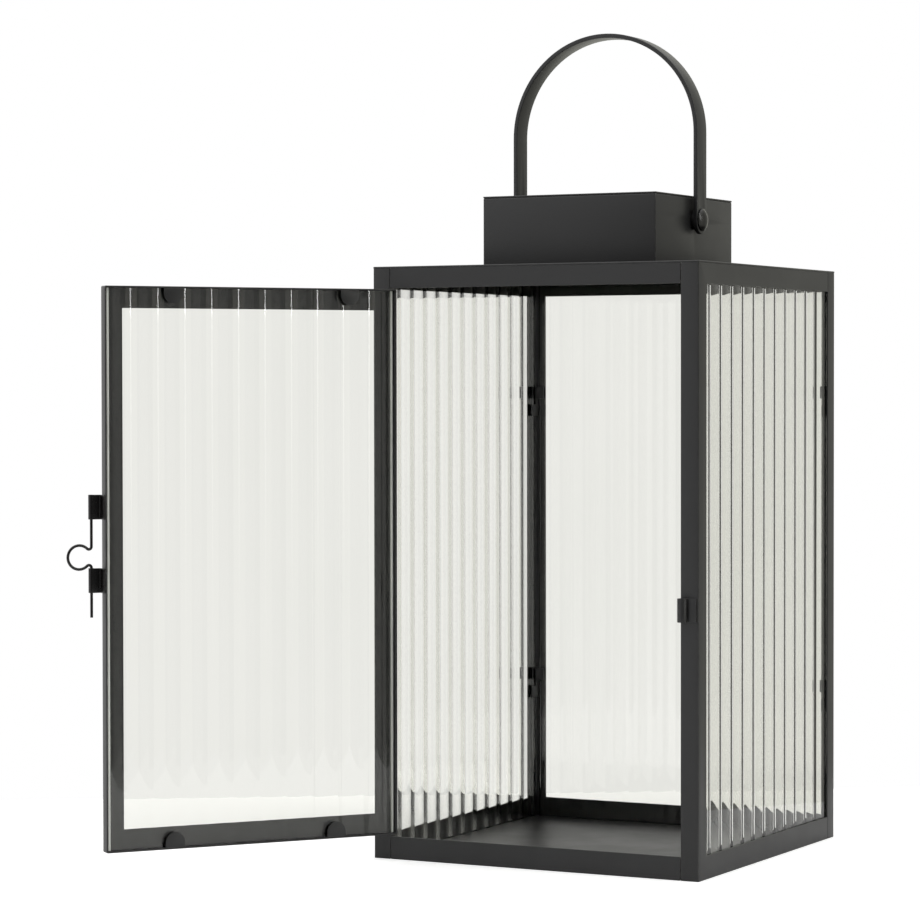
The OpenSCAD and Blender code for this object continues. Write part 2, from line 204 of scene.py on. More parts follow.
class SurfaceGroups:
    """Shader node groups that the finishes share, each built once."""

    def __init__(self) -> None:
        """Builds both groups."""
        self.grain = self.build_grain()
        self.wear = self.build_wear()

    @staticmethod
    def build_grain() -> bpy.types.NodeTree:
        """Builds the fine pebbled grain of a sprayed coat.

        Returns:
            A group with Relief, a height, and Drift, a slow change over the surface.
        """
        tree, wires = group_tree(
            "coat_grain", "ShaderNodeTree",
            [("Grain Scale", "NodeSocketFloat", 1500.0), ("Drift Scale", "NodeSocketFloat", 22.0)],
            [("Relief", "NodeSocketFloat"), ("Drift", "NodeSocketFloat")])
        given = wires.node("NodeGroupInput").outputs
        place = wires.node("ShaderNodeTexCoord").outputs["Object"]
        pebbles = wires.node("ShaderNodeTexNoise", {"Vector": place, "Scale": given["Grain Scale"],
                                                    "Detail": 2.0, "Roughness": 0.45})
        slow = wires.node("ShaderNodeTexNoise", {"Vector": place, "Scale": given["Drift Scale"],
                                                 "Detail": 3.0, "Roughness": 0.6})
        wires.node("NodeGroupOutput", {"Relief": wires.step(pebbles.outputs[0], *NOISE_MIDDLE),
                                       "Drift": wires.step(slow.outputs[0], *NOISE_MIDDLE)})
        return tree

    @staticmethod
    def build_wear() -> bpy.types.NodeTree:
        """Builds the broken line where a coat is thin along cut edges and folds.

        Returns:
            A group with Mask, from 0 on the faces to 1 on worn edges.
        """
        tree, wires = group_tree(
            "edge_wear", "ShaderNodeTree",
            [("Break Scale", "NodeSocketFloat", 160.0), ("Amount", "NodeSocketFloat", 0.6)],
            [("Mask", "NodeSocketFloat")])
        given = wires.node("NodeGroupInput").outputs
        place = wires.node("ShaderNodeTexCoord").outputs["Object"]
        edge = wires.node("ShaderNodeAttribute", attribute_name=EDGE_MASK).outputs["Fac"]
        breaks = wires.node("ShaderNodeTexNoise", {"Vector": place, "Scale": given["Break Scale"],
                                                   "Detail": 3.0}).outputs[0]
        broken = wires.step(breaks, *BREAK_MIDDLE, LEAST_WEAR, 1.0)
        wires.node("NodeGroupOutput", {"Mask": wires.times(edge, broken, given["Amount"])})
        return tree


@dataclass(frozen=True)
class CoatFinish:
    """A matt surface: a sprayed or baked coat on metal, or the frosted ground edge of a pane, whose
    pale opaque colour also paints the bright glint of light seen through the chamfer.
    """

    name: str
    colour: Colour
    worn_colour: Colour
    roughness: float
    roughness_drift: float
    grain_scale: float
    grain_height: float
    wear: float
    deep_share: float = 0.82
    edge_polish: float = 0.08
    ior: float = 1.5

    def material(self, groups: SurfaceGroups) -> bpy.types.Material:
        """Makes the coat's material.

        Args:
            groups: The shared surface groups.

        Returns:
            The material.
        """
        made = bpy.data.materials.new(self.name)
        made.use_nodes = True
        wires = Wiring(made.node_tree)
        shader = made.node_tree.nodes["Principled BSDF"]
        grain = wires.node("ShaderNodeGroup", node_tree=groups.grain)
        grain.inputs["Grain Scale"].default_value = self.grain_scale
        wear = wires.node("ShaderNodeGroup", node_tree=groups.wear)
        wear.inputs["Amount"].default_value = self.wear
        drift, mask = grain.outputs["Drift"], wear.outputs["Mask"]
        deep = tuple(self.deep_share * c for c in self.colour)
        base = wires.mix(drift, rgba(deep), rgba(self.colour))
        low = self.roughness - self.roughness_drift
        rough = wires.step(drift, 0.0, 1.0, low, self.roughness + self.roughness_drift)
        smoothed = wires.minus(rough, wires.times(mask, self.edge_polish))
        bump = wires.node("ShaderNodeBump", {"Height": grain.outputs["Relief"], "Strength": 1.0,
                                             "Distance": self.grain_height})
        links = made.node_tree.links
        links.new(wires.mix(mask, base, rgba(self.worn_colour)), shader.inputs["Base Color"])
        links.new(smoothed, shader.inputs["Roughness"])
        links.new(bump.outputs[0], shader.inputs["Normal"])
        shader.inputs["IOR"].default_value = self.ior
        return made


@dataclass(frozen=True)
class GlassFinish:
    """Clear pressed glass with a faint green body and a slight draw along the ribs."""

    name: str
    tint: Colour
    deep_tint: Colour
    ripple: float
    ripple_scale: tuple[float, float, float] = (60.0, 60.0, 9.0)
    tint_scale: float = 9.0
    ior: float = 1.5

    def material(self, groups: SurfaceGroups) -> bpy.types.Material:
        """Makes the glass's material.

        Args:
            groups: The shared surface groups.

        Returns:
            The material.
        """
        made = bpy.data.materials.new(self.name)
        made.use_nodes = True
        wires = Wiring(made.node_tree)
        shader = made.node_tree.nodes["Principled BSDF"]
        place = wires.node("ShaderNodeTexCoord").outputs["Object"]
        drawn = wires.node("ShaderNodeMapping", {"Vector": place, "Scale": self.ripple_scale})
        wave = wires.node("ShaderNodeTexNoise", {"Vector": drawn.outputs[0], "Scale": 1.0,
                                                 "Detail": 1.0}).outputs[0]
        grain = wires.node("ShaderNodeGroup", node_tree=groups.grain)
        grain.inputs["Drift Scale"].default_value = self.tint_scale
        body = wires.mix(grain.outputs["Drift"], rgba(self.deep_tint), rgba(self.tint))
        bump = wires.node("ShaderNodeBump", {"Height": wave, "Strength": 1.0,
                                             "Distance": self.ripple})
        made.node_tree.links.new(body, shader.inputs["Base Color"])
        made.node_tree.links.new(bump.outputs[0], shader.inputs["Normal"])
        shader.inputs["Transmission Weight"].default_value = 1.0
        shader.inputs["Roughness"].default_value = 0.0
        shader.inputs["IOR"].default_value = self.ior
        return made


POWDER_COAT = CoatFinish("powder_coat", (0.021, 0.021, 0.0215), (0.040, 0.040, 0.039), 0.40, 0.03,
                         1400.0, 0.000012, 0.5)
DARK_ENAMEL = CoatFinish("dark_enamel", (0.004, 0.0035, 0.0035), (0.026, 0.023, 0.020), 0.25, 0.04,
                         2200.0, 0.000008, 0.8)
# Frosted ground edge of the glass: its pale opaque colour is partly the frosted edge itself and
# partly a painted highlight, the bright line of light seen through the chamfer.
GROUND_EDGE_PAINTED_GLINT = CoatFinish("ground_edge", (0.86, 0.88, 0.82), (0.90, 0.91, 0.87), 0.55, 0.06,
                         900.0, 0.00001, 0.3)
RIBBED_GLASS = GlassFinish("ribbed_glass", (0.855, 0.855, 0.815), (0.84, 0.842, 0.80), 0.00002)


@dataclass
class Finishes:
    """The lantern's materials."""

    coat: bpy.types.Material
    enamel: bpy.types.Material
    glass: bpy.types.Material
    # edge: the ground-edge finish, a pale opaque colour that paints a bright glint on the pane's
    # chamfer.
    edge: bpy.types.Material

    @classmethod
    def build(cls) -> "Finishes":
        """Builds the shared groups and the four materials."""
        groups = SurfaceGroups()
        return cls(*(finish.material(groups) for finish in (
            POWDER_COAT, DARK_ENAMEL, RIBBED_GLASS, GROUND_EDGE_PAINTED_GLINT)))


def add_piece(name: str, mesh: bpy.types.Mesh, body: Body, node: str,
              material: bpy.types.Material | None = None) -> None:
    """Puts a finished mesh in the scene, on its body, in place of its CAD node.

    Args:
        name: The piece's name.
        mesh: Its mesh, in the lantern's frame.
        body: The body that it rides on.
        node: The CAD node that it stands for.
        material: The material, where the mesh doesn't have it yet.
    """
    if material:
        mesh.materials.clear()
        mesh.materials.append(material)
    piece = bpy.data.objects.new(name, mesh)
    bpy.context.scene.collection.objects.link(piece)
    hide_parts(node)
    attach(piece, body.value)
    log.info("%s: %d faces on %s, for %s", name, len(mesh.polygons), body.value, node)


def face_depth(face: bmesh.types.BMFace, edge: bmesh.types.BMEdge) -> float:
    """How far a face reaches from the line of one of its edges.

    Args:
        face: The face.
        edge: An edge of it.

    Returns:
        The greatest distance of the face's corners from the edge's line.
    """
    start = edge.verts[0].co
    along = (edge.verts[1].co - start).normalized()
    return max((v.co - start).cross(along).length for v in face.verts)


def is_outer(edge: bmesh.types.BMEdge, least: float) -> bool:
    """Whether an edge stands outwards between two faces that turn by more than least radians."""
    return len(edge.link_faces) == 2 and edge.calc_face_angle_signed(0.0) > least


def modified(mesh: bpy.types.Mesh, kind: str, **settings: Value) -> bmesh.types.BMesh:
    """Puts a mesh through one modifier.

    Args:
        mesh: The mesh.
        kind: The modifier's type name.
        **settings: The modifier's properties.

    Returns:
        The result, as a new bmesh.
    """
    holder = bpy.data.objects.new(mesh.name, mesh)
    bpy.context.scene.collection.objects.link(holder)
    modifier = holder.modifiers.new(kind.lower(), kind)
    for name, value in settings.items():
        setattr(modifier, name, value)
    graph = bpy.context.evaluated_depsgraph_get()
    result = bmesh.new()
    result.from_mesh(bpy.data.meshes.new_from_object(holder.evaluated_get(graph)))
    bpy.data.objects.remove(holder)
    return result


@dataclass(frozen=True)
class Softening:
    """Radii of a sheet part's folds and of its cut edges, in metres.

    A face that is no deeper than thickest is taken for the cut edge of the sheet.
    """

    fold: float = 0.75 * MM
    cut: float = 0.14 * MM
    thickest: float = 2.4 * MM
    steps: int = 3

    def weigh(self, bm: bmesh.types.BMesh) -> None:
        """Gives each edge the share of the larger radius that it gets.

        Args:
            bm: The part, already merged.
        """
        layer = bm.edges.layers.float.new("bevel_weight_edge")
        largest = max(self.fold, self.cut)
        for edge in bm.edges:
            if not is_outer(edge, CORNER_TURN):
                continue
            fold = (self.fold > 0 and is_outer(edge, FOLD_TURN)
                    and min(face_depth(f, edge) for f in edge.link_faces) > self.thickest)
            edge[layer] = (self.fold if fold else self.cut) / largest

    def round(self, bm: bmesh.types.BMesh) -> bmesh.types.BMesh:
        """Rounds the folds and the cut edges, and marks the new faces as edge.

        Args:
            bm: The part, already merged. It is freed.

        Returns:
            The rounded part.
        """
        self.weigh(bm)
        mesh = bpy.data.meshes.new("to_round")
        bm.to_mesh(mesh)
        bm.free()
        for _ in range(2):
            mesh.materials.append(None)
        rounded = modified(mesh, "BEVEL", limit_method="WEIGHT", width=max(self.fold, self.cut),
                           segments=self.steps, use_clamp_overlap=False, material=1)
        mask = rounded.faces.layers.float.new(EDGE_MASK)
        for face in rounded.faces:
            face[mask], face.material_index = float(face.material_index), 0
        return rounded

    def finish(self, name: str, bm: bmesh.types.BMesh) -> bpy.types.Mesh:
        """Rounds and shades a part.

        Args:
            name: The new mesh's name.
            bm: The part, already merged. It is freed.

        Returns:
            The part's mesh.
        """
        rounded = self.round(bm)
        shade_curved(rounded)
        return finished_mesh(name, rounded)


def shade_curved(bm: bmesh.types.BMesh) -> None:
    """Shades rounded faces smooth and leaves flat ones flat.

    Args:
        bm: The mesh.
    """
    layer = bm.faces.layers.float.get(EDGE_MASK)
    for face in bm.faces:
        turns = [e.calc_face_angle(0.0) for e in face.edges if len(e.link_faces) == 2]
        curved = any(CURVE_TURNS[0] < turn < CURVE_TURNS[1] for turn in turns)
        face.smooth = curved or bool(layer and face[layer] > 0.5)


def finished_mesh(name: str, bm: bmesh.types.BMesh) -> bpy.types.Mesh:
    """Turns a bmesh into a mesh with its corners set sharp, and frees it.

    Args:
        name: The mesh's name.
        bm: The bmesh.

    Returns:
        The mesh.
    """
    mesh = bpy.data.meshes.new(name)
    bm.to_mesh(mesh)
    bm.free()
    mesh.set_sharp_from_angle(angle=CORNER_TURN)
    return mesh


def divide_sheet(bm: bmesh.types.BMesh, planes: set[tuple[int, float]]) -> None:
    """Divides flat faces along some planes and joins what lies between them.

    Args:
        bm: The merged part, of loose triangles.
        planes: Axis and distance of each plane.
    """
    for axis, distance in sorted(planes):
        normal = Vector((axis == 0, axis == 1, axis == 2))
        bmesh.ops.bisect_plane(bm, geom=[*bm.verts, *bm.edges, *bm.faces], dist=ON_LINE,
                               plane_co=normal * distance, plane_no=normal)
    spare = [e for e in bm.edges if len(e.link_faces) == 2 and e.calc_face_angle(0.0) < FLAT_TURN
             and not any(all(abs(v.co[axis] - distance) < ON_LINE * 2 for v in e.verts)
                         for axis, distance in planes)]
    bmesh.ops.dissolve_edges(bm, edges=spare, use_verts=True, use_face_split=False)


@dataclass(frozen=True)
class DoorPlace:
    """Where the closed door's own drawing goes when it stands open at rest."""

    axis: Point2 = (-77.9 * MM, -91.85 * MM)
    angle: float = 126.5

    @property
    def opened(self) -> Matrix:
        """The move from closed to the rest position."""
        hinge = Vector((*self.axis, 0.0))
        return (Matrix.Translation(hinge) @ Matrix.Rotation(-math.radians(self.angle), 4, "Z")
                @ Matrix.Translation(-hinge))

    def closed_box(self, node: str) -> tuple[Vector, Vector]:
        """A door node's lowest and highest corners with the door closed."""
        back = self.opened.inverted()
        points = [back @ v.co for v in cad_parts[node].data.vertices]
        return (Vector(min(p[i] for p in points) for i in range(3)),
                Vector(max(p[i] for p in points) for i in range(3)))


@dataclass(frozen=True)
class SoftenedCopy:
    """A CAD node whose own shape is kept, with its folds and edges rounded."""

    node: str
    way: str
    softening: Softening
    body: Body = Body.LANTERN
    slot: Slot = Slot.COAT
    centres: tuple[tuple[int, float], ...] = ()

    def build(self, material: bpy.types.Material) -> None:
        """Copies, divides and rounds the node, square to the axes, and adds the piece.

        Args:
            material: The finish.
        """
        placed = DoorPlace().opened if self.body is Body.DOOR else Matrix.Identity(4)
        bm = bmesh.new()
        bm.from_mesh(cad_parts[self.node].data)
        bm.transform(placed.inverted())
        bmesh.ops.remove_doubles(bm, verts=bm.verts[:], dist=SAME_POINT)
        divide_sheet(bm, set(self.centres))
        name = f"{self.node}_{self.way}"
        mesh = self.softening.finish(name, bm)
        mesh.transform(placed)
        add_piece(name, mesh, self.body, self.node, material)


@dataclass(frozen=True)
class Opening:
    """A flat rectangle of sheet with a rectangular hole, in its own two directions."""

    low: Point2
    high: Point2
    hole_low: Point2
    hole_high: Point2
    mitre: float = 3.0 * MM
    open_end: bool = False

    def polygons(self) -> list[list[Point2]]:
        """Divides the sheet round the hole along short mitre lines.

        Returns:
            Convex polygons, without the far upright where the hole is open at that end.
        """
        (x0, z0), (x1, z1) = self.low, self.high
        (hx0, hz0), (hx1, hz1) = self.hole_low, self.hole_high
        near, far = x0 + self.mitre, x1 - self.mitre
        made = [[(x0, z0), (near, z0), (hx0, hz0), (hx0, hz1), (near, z1), (x0, z1)]]
        if self.open_end:
            far = hx1 = x1
        else:
            made.append([(x1, z0), (x1, z1), (far, z1), (hx1, hz1), (hx1, hz0), (far, z0)])
        made.append([(near, z0), (far, z0), (hx1, hz0), (hx0, hz0)])
        made.append([(near, z1), (hx0, hz1), (hx1, hz1), (far, z1)])
        return made

    def along(self, level: float) -> list[Point2]:
        """Points of the sheet's long edge at one height, its mitre points among them."""
        near, far = self.low[0], self.high[0]
        return [(x, level) for x in (near, near + self.mitre, far - self.mitre, far)]


class SheetSkin:
    """Outer skin of a bent sheet, thickened inwards."""

    def __init__(self) -> None:
        """Starts an empty skin."""
        self.bm = bmesh.new()

    def add(self, polygons: list[list[Point2]], place: Callable[[float, float], Vector]) -> None:
        """Adds flat polygons.

        Args:
            polygons: Corners, in the sheet's own two directions.
            place: Takes such a corner to its place.
        """
        for polygon in polygons:
            self.bm.faces.new([self.bm.verts.new(place(u, v)) for u, v in polygon])

    def flange(self, line: list[Vector], reach: Vector) -> None:
        """Adds a flange from a line of points.

        Args:
            line: The fold's points.
            reach: The flange's width and direction.
        """
        corners = [*line, line[-1] + reach, line[0] + reach]
        self.bm.faces.new([self.bm.verts.new(p) for p in corners])

    def mesh(self, name: str, thickness: float, inside: Vector,
             softening: Softening) -> bpy.types.Mesh:
        """Thickens the skin and rounds it.

        Args:
            name: The mesh's name.
            thickness: Thickness of the sheet.
            inside: A point on the side that the sheet thickens towards.
            softening: The radii.

        Returns:
            The mesh.
        """
        bm = self.bm
        bmesh.ops.remove_doubles(bm, verts=bm.verts[:], dist=SAME_POINT)
        bmesh.ops.recalc_face_normals(bm, faces=bm.faces[:])
        widest = max(bm.faces, key=lambda f: f.calc_area())
        if (widest.calc_center_median() - inside).dot(widest.normal) < 0:
            bmesh.ops.reverse_faces(bm, faces=bm.faces[:])
        skin = bpy.data.meshes.new("skin")
        bm.to_mesh(skin)
        bm.free()
        thick = modified(skin, "SOLIDIFY", thickness=thickness, offset=-1.0, use_even_offset=True)
        return softening.finish(name, thick)


def curled_strip(path: list[Point2], thickness: float, low: float,
                 high: float) -> bmesh.types.BMesh:
    """Raises a strip of sheet that follows a path in plan.

    Args:
        path: Points of the sheet's middle line, in metres.
        thickness: Thickness of the sheet.
        low: Height of its lower edge.
        high: Height of its upper edge.

    Returns:
        A closed bmesh with outward faces.
    """
    points = [Vector(p) for p in path]
    left, right = [], []
    for i, point in enumerate(points):
        before = points[max(i - 1, 0)]
        after = points[min(i + 1, len(points) - 1)]
        turn_in = (point - before).normalized() if i else (after - point).normalized()
        turn_out = (after - point).normalized() if i < len(points) - 1 else turn_in
        normal_in, normal_out = (Vector((-t.y, t.x)) for t in (turn_in, turn_out))
        mitre = (normal_in + normal_out).normalized()
        reach = thickness / 2 / max(mitre.dot(normal_in), 0.5)
        left.append(point + mitre * reach)
        right.append(point - mitre * reach)
    bm = bmesh.new()
    rows = [[bm.verts.new((p.x, p.y, z)) for p in side] for z in (low, high)
            for side in (left, right)]
    low_left, low_right, high_left, high_right = rows
    for i in range(len(points) - 1):
        bm.faces.new((low_left[i], low_left[i + 1], low_right[i + 1], low_right[i]))
        bm.faces.new((high_left[i], high_right[i], high_right[i + 1], high_left[i + 1]))
        bm.faces.new((low_left[i], high_left[i], high_left[i + 1], low_left[i + 1]))
        bm.faces.new((low_right[i], low_right[i + 1], high_right[i + 1], high_right[i]))
    bm.faces.new((low_left[0], low_right[0], high_right[0], high_left[0]))
    bm.faces.new((low_left[-1], high_left[-1], high_right[-1], low_right[-1]))
    bmesh.ops.recalc_face_normals(bm, faces=bm.faces[:])
    return bm


def arc(centre: Point2, radius: float, start: float, end: float, steps: int) -> list[Point2]:
    """Points on an arc.

    Args:
        centre: The arc's centre.
        radius: Its radius.
        start: Angle of the first point, in degrees.
        end: Angle of the last point, in degrees.
        steps: Number of stretches between the points.

    Returns:
        The points.
    """
    angles = (math.radians(start + (end - start) * i / steps) for i in range(steps + 1))
    return [(centre[0] + radius * math.cos(a), centre[1] + radius * math.sin(a)) for a in angles]


def lathe(profile: list[Point2], sides: int) -> bmesh.types.BMesh:
    """Turns a profile about the Z axis.

    Args:
        profile: Radius and height of each point, from the bottom's middle to the top's.
        sides: Number of facets round the axis.

    Returns:
        A closed bmesh with outward faces.
    """
    bm = bmesh.new()
    rings = []
    for radius, height in profile:
        count = 1 if radius < 1e-9 else sides
        rings.append([bm.verts.new((radius * math.cos(2 * math.pi * i / sides),
                                    radius * math.sin(2 * math.pi * i / sides), height))
                      for i in range(count)])
    for lower, upper in zip(rings, rings[1:]):
        for i in range(sides):
            k = (i + 1) % sides
            corners = [lower[i % len(lower)], lower[k % len(lower)],
                       upper[k % len(upper)], upper[i % len(upper)]]
            bm.faces.new(list(dict.fromkeys(corners)))
    bmesh.ops.recalc_face_normals(bm, faces=bm.faces[:])
    return bm


class Recipe:
    """A Geometry Nodes tree with named inputs, run once on a carrier and baked to a mesh."""

    def __init__(self, name: str, inputs: list[tuple[str, str, Value]]) -> None:
        """Makes the tree with a geometry input and output.

        Args:
            name: The tree's name.
            inputs: Name, socket type and default value of each further input.
        """
        sockets = [("Carrier", "NodeSocketGeometry", None), *inputs,
                   ("Finish", "NodeSocketMaterial", None)]
        self.tree, self.wires = group_tree(name, "GeometryNodeTree", sockets,
                                           [("Geometry", "NodeSocketGeometry")])
        self.given = self.wires.node("NodeGroupInput").outputs
        self.keys = {item.name: item.identifier for item in self.tree.interface.items_tree
                     if item.in_out == "INPUT"}

    def end(self, geometry: bpy.types.NodeSocket, edge: bpy.types.NodeSocket | None = None) -> None:
        """Ends the tree in Realize Instances and Set Material.

        Args:
            geometry: What the tree has made.
            edge: The faces that get the tree's edge finish, where it has one; on the door pane that
                finish is a pale opaque colour that paints a bright glint.
        """
        real = self.wires.node("GeometryNodeRealizeInstances", {"Geometry": geometry})
        dressed = self.wires.node("GeometryNodeSetMaterial", {
            "Geometry": real.outputs[0], "Material": self.given["Finish"]})
        if edge:
            dressed = self.wires.node("GeometryNodeSetMaterial", {
                "Geometry": dressed.outputs[0], "Selection": edge,
                "Material": self.given["Edge Finish"]})
        self.wires.node("NodeGroupOutput", {"Geometry": dressed.outputs[0]})

    def bake(self, carrier: bpy.types.ID, material: bpy.types.Material,
             values: dict[str, Value]) -> bpy.types.Mesh:
        """Runs the tree on a carrier and keeps the result as a plain mesh.

        Args:
            carrier: A mesh or curve for the tree to start from.
            material: The finish.
            values: The inputs, by name.

        Returns:
            The baked mesh.
        """
        holder = bpy.data.objects.new(f"{self.tree.name}_carrier", carrier)
        bpy.context.scene.collection.objects.link(holder)
        modifier = holder.modifiers.new(self.tree.name, "NODES")
        modifier.node_group = self.tree
        for name, value in {**values, "Finish": material}.items():
            modifier[self.keys[name]] = value
        graph = bpy.context.evaluated_depsgraph_get()
        baked = bpy.data.meshes.new_from_object(holder.evaluated_get(graph),
                                                preserve_all_data_layers=True, depsgraph=graph)
        holder.modifiers.clear()
        bpy.data.objects.remove(holder)
        return baked


class RibbedPaneRecipe(Recipe):
    """A pane that is flat at Y = 0 and fluted towards +Y, standing on Z = 0."""

    def __init__(self) -> None:
        """Builds the tree."""
        super().__init__("ribbed_pane", [
            ("Width", "NodeSocketFloat", 0.17), ("Height", "NodeSocketFloat", 0.29),
            ("Ground Thickness", "NodeSocketFloat", 0.003), ("Rise", "NodeSocketFloat", 0.001),
            ("Pitch", "NodeSocketFloat", 0.014), ("Land", "NodeSocketFloat", 0.0004),
            ("Shift", "NodeSocketFloat", 0.0), ("Chamfer", "NodeSocketFloat", 0.001),
            ("Facets", "NodeSocketInt", 24), ("Edge Finish", "NodeSocketMaterial", None)])
        given, wires = self.given, self.wires
        ribs_beside = wires.math("CEIL", wires.math(
            "DIVIDE", given["Width"], wires.times(given["Pitch"], 2.0)))
        ribs = wires.times(wires.plus(ribs_beside, 1.0), 2.0)
        columns = wires.plus(wires.times(ribs, given["Facets"]), 1.0)
        size = wires.node("ShaderNodeCombineXYZ", {
            "X": wires.times(ribs, given["Pitch"]), "Y": 1.0, "Z": given["Height"]})
        block = wires.node("GeometryNodeMeshCube", {
            "Size": size.outputs[0], "Vertices X": columns, "Vertices Y": 2, "Vertices Z": 2})
        place = self.position()
        half = wires.times(given["Width"], 0.5)
        shifted = wires.plus(place["X"], given["Shift"])
        across = wires.math("MAXIMUM", wires.math("MINIMUM", shifted, half), wires.times(half, -1.0))
        ribbed = wires.plus(given["Ground Thickness"], self.section(across))
        flat_half = wires.minus(half, given["Chamfer"])
        ground = wires.math("MAXIMUM", 0.0, wires.minus(wires.math("ABSOLUTE", across), flat_half))
        full = wires.plus(given["Ground Thickness"], given["Rise"])
        back = wires.math("MINIMUM", ribbed, wires.minus(full, ground))
        on_ribs = wires.math("GREATER_THAN", place["Y"], 0.0)
        face = wires.plus(wires.times(on_ribs, back), wires.times(wires.minus(1.0, on_ribs), ground))
        target = wires.node("ShaderNodeCombineXYZ", {
            "X": across, "Y": face, "Z": wires.plus(place["Z"], wires.times(given["Height"], 0.5))})
        formed = wires.node("GeometryNodeSetPosition", {"Geometry": block.outputs[0],
                                                        "Position": target.outputs[0]})
        merged = wires.node("GeometryNodeMergeByDistance", {"Geometry": formed.outputs[0],
                                                            "Distance": 1e-6})
        # The chamfered upright edges get the edge finish, which on the door pane is a pale opaque
        # colour painting a bright glint.
        beside = wires.math("ABSOLUTE", self.position()["X"])
        self.end(merged.outputs[0], wires.math("GREATER_THAN", beside, flat_half))

    def position(self) -> bpy.types.bpy_prop_collection:
        """The X, Y and Z outputs of a point's place."""
        point = self.wires.node("GeometryNodeInputPosition").outputs[0]
        return self.wires.node("ShaderNodeSeparateXYZ", {0: point}).outputs

    def section(self, across: bpy.types.NodeSocket) -> bpy.types.NodeSocket:
        """Height of the fluted surface above the thinnest glass.

        Args:
            across: Distance from the pane's middle.

        Returns:
            The height: nothing at the bottom of a flute, the full rise on a rib's land.
        """
        given, wires = self.given, self.wires
        rise = given["Rise"]
        turns = wires.math("DIVIDE", wires.minus(across, given["Shift"]), given["Pitch"])
        offset = wires.times(wires.minus(wires.math("FRACT", turns), 0.5), given["Pitch"])
        chord = wires.times(wires.minus(given["Pitch"], given["Land"]), 0.5)
        squares = wires.plus(wires.times(chord, chord), wires.times(rise, rise))
        radius = wires.math("DIVIDE", squares, wires.times(rise, 2.0))
        level = wires.minus(wires.times(radius, radius), wires.times(offset, offset))
        hollow = wires.minus(radius, wires.math("SQRT", level))
        return wires.math("MINIMUM", hollow, rise)


class BentWireRecipe(Recipe):
    """A round wire along a curve, with closed ends."""

    def __init__(self) -> None:
        """Builds the tree."""
        super().__init__("bent_wire", [("Radius", "NodeSocketFloat", 0.0007),
                                       ("Sides", "NodeSocketInt", 20)])
        wires = self.wires
        ring = wires.node("GeometryNodeCurvePrimitiveCircle", {"Resolution": self.given["Sides"],
                                                               "Radius": self.given["Radius"]})
        tube = wires.node("GeometryNodeCurveToMesh", {
            "Curve": self.given["Carrier"], "Profile Curve": ring.outputs[0], "Fill Caps": True})
        smooth = wires.node("GeometryNodeSetShadeSmooth", {"Geometry": tube.outputs[0]})
        self.end(smooth.outputs[0])


class RepeatRecipe(Recipe):
    """One small piece put at each point of the carrier, turned by the point's own turn."""

    def __init__(self) -> None:
        """Builds the tree."""
        super().__init__("repeated_piece", [("Piece", "NodeSocketObject", None)])
        wires = self.wires
        piece = wires.node("GeometryNodeObjectInfo", {"Object": self.given["Piece"]})
        turn = wires.node("GeometryNodeInputNamedAttribute", {"Name": "turn"},
                          data_type="FLOAT_VECTOR")
        put = wires.node("GeometryNodeInstanceOnPoints", {
            "Points": self.given["Carrier"], "Instance": piece.outputs["Geometry"],
            "Rotation": turn.outputs[0]})
        self.end(put.outputs[0])

    def repeat(self, bm: bmesh.types.BMesh, places: list[tuple[Vector, Vector]],
               material: bpy.types.Material) -> bpy.types.Mesh:
        """Repeats a small piece.

        Args:
            bm: The piece, drawn at the origin. It is freed.
            places: Position and turn of each copy.
            material: The finish.

        Returns:
            One mesh with all the copies.
        """
        one = bpy.data.objects.new("one_piece", finished_mesh("one_piece", bm))
        points = bpy.data.meshes.new("places")
        points.from_pydata([tuple(place) for place, _ in places], [], [])
        turns = points.attributes.new("turn", "FLOAT_VECTOR", "POINT")
        turns.data.foreach_set("vector", [x for _, turn in places for x in turn])
        made = self.bake(points, material, {"Piece": one})
        bpy.data.objects.remove(one)
        return made


@dataclass
class PhotoCamera:
    """The camera, placed and turned as the photograph was taken."""

    place: tuple[float, float, float] = (0.7202, -1.5354, 0.2401)
    azimuth: float = 27.75
    pitch: float = 1.29
    roll: float = -0.08
    lens: float = 127.47
    sensor: float = 36.0
    clip: Point2 = (0.01, 50.0)

    def build(self) -> None:
        """Makes the camera and sets it as the scene's."""
        data = bpy.data.cameras.new("photo_camera")
        data.lens, data.sensor_width, data.sensor_fit = self.lens, self.sensor, "HORIZONTAL"
        data.clip_start, data.clip_end = self.clip
        camera = bpy.data.objects.new("photo_camera", data)
        bpy.context.scene.collection.objects.link(camera)
        a, p = math.radians(self.azimuth), math.radians(self.pitch)
        look = Vector((-math.sin(a) * math.cos(p), math.cos(a) * math.cos(p), -math.sin(p)))
        turn = look.to_track_quat("-Z", "Y").to_matrix().to_4x4()
        camera.matrix_world = (Matrix.Translation(self.place) @ turn
                               @ Matrix.Rotation(math.radians(self.roll), 4, "Z"))
        bpy.context.scene.camera = camera
        log.info("camera at %s, lens %.1f mm", self.place, self.lens)


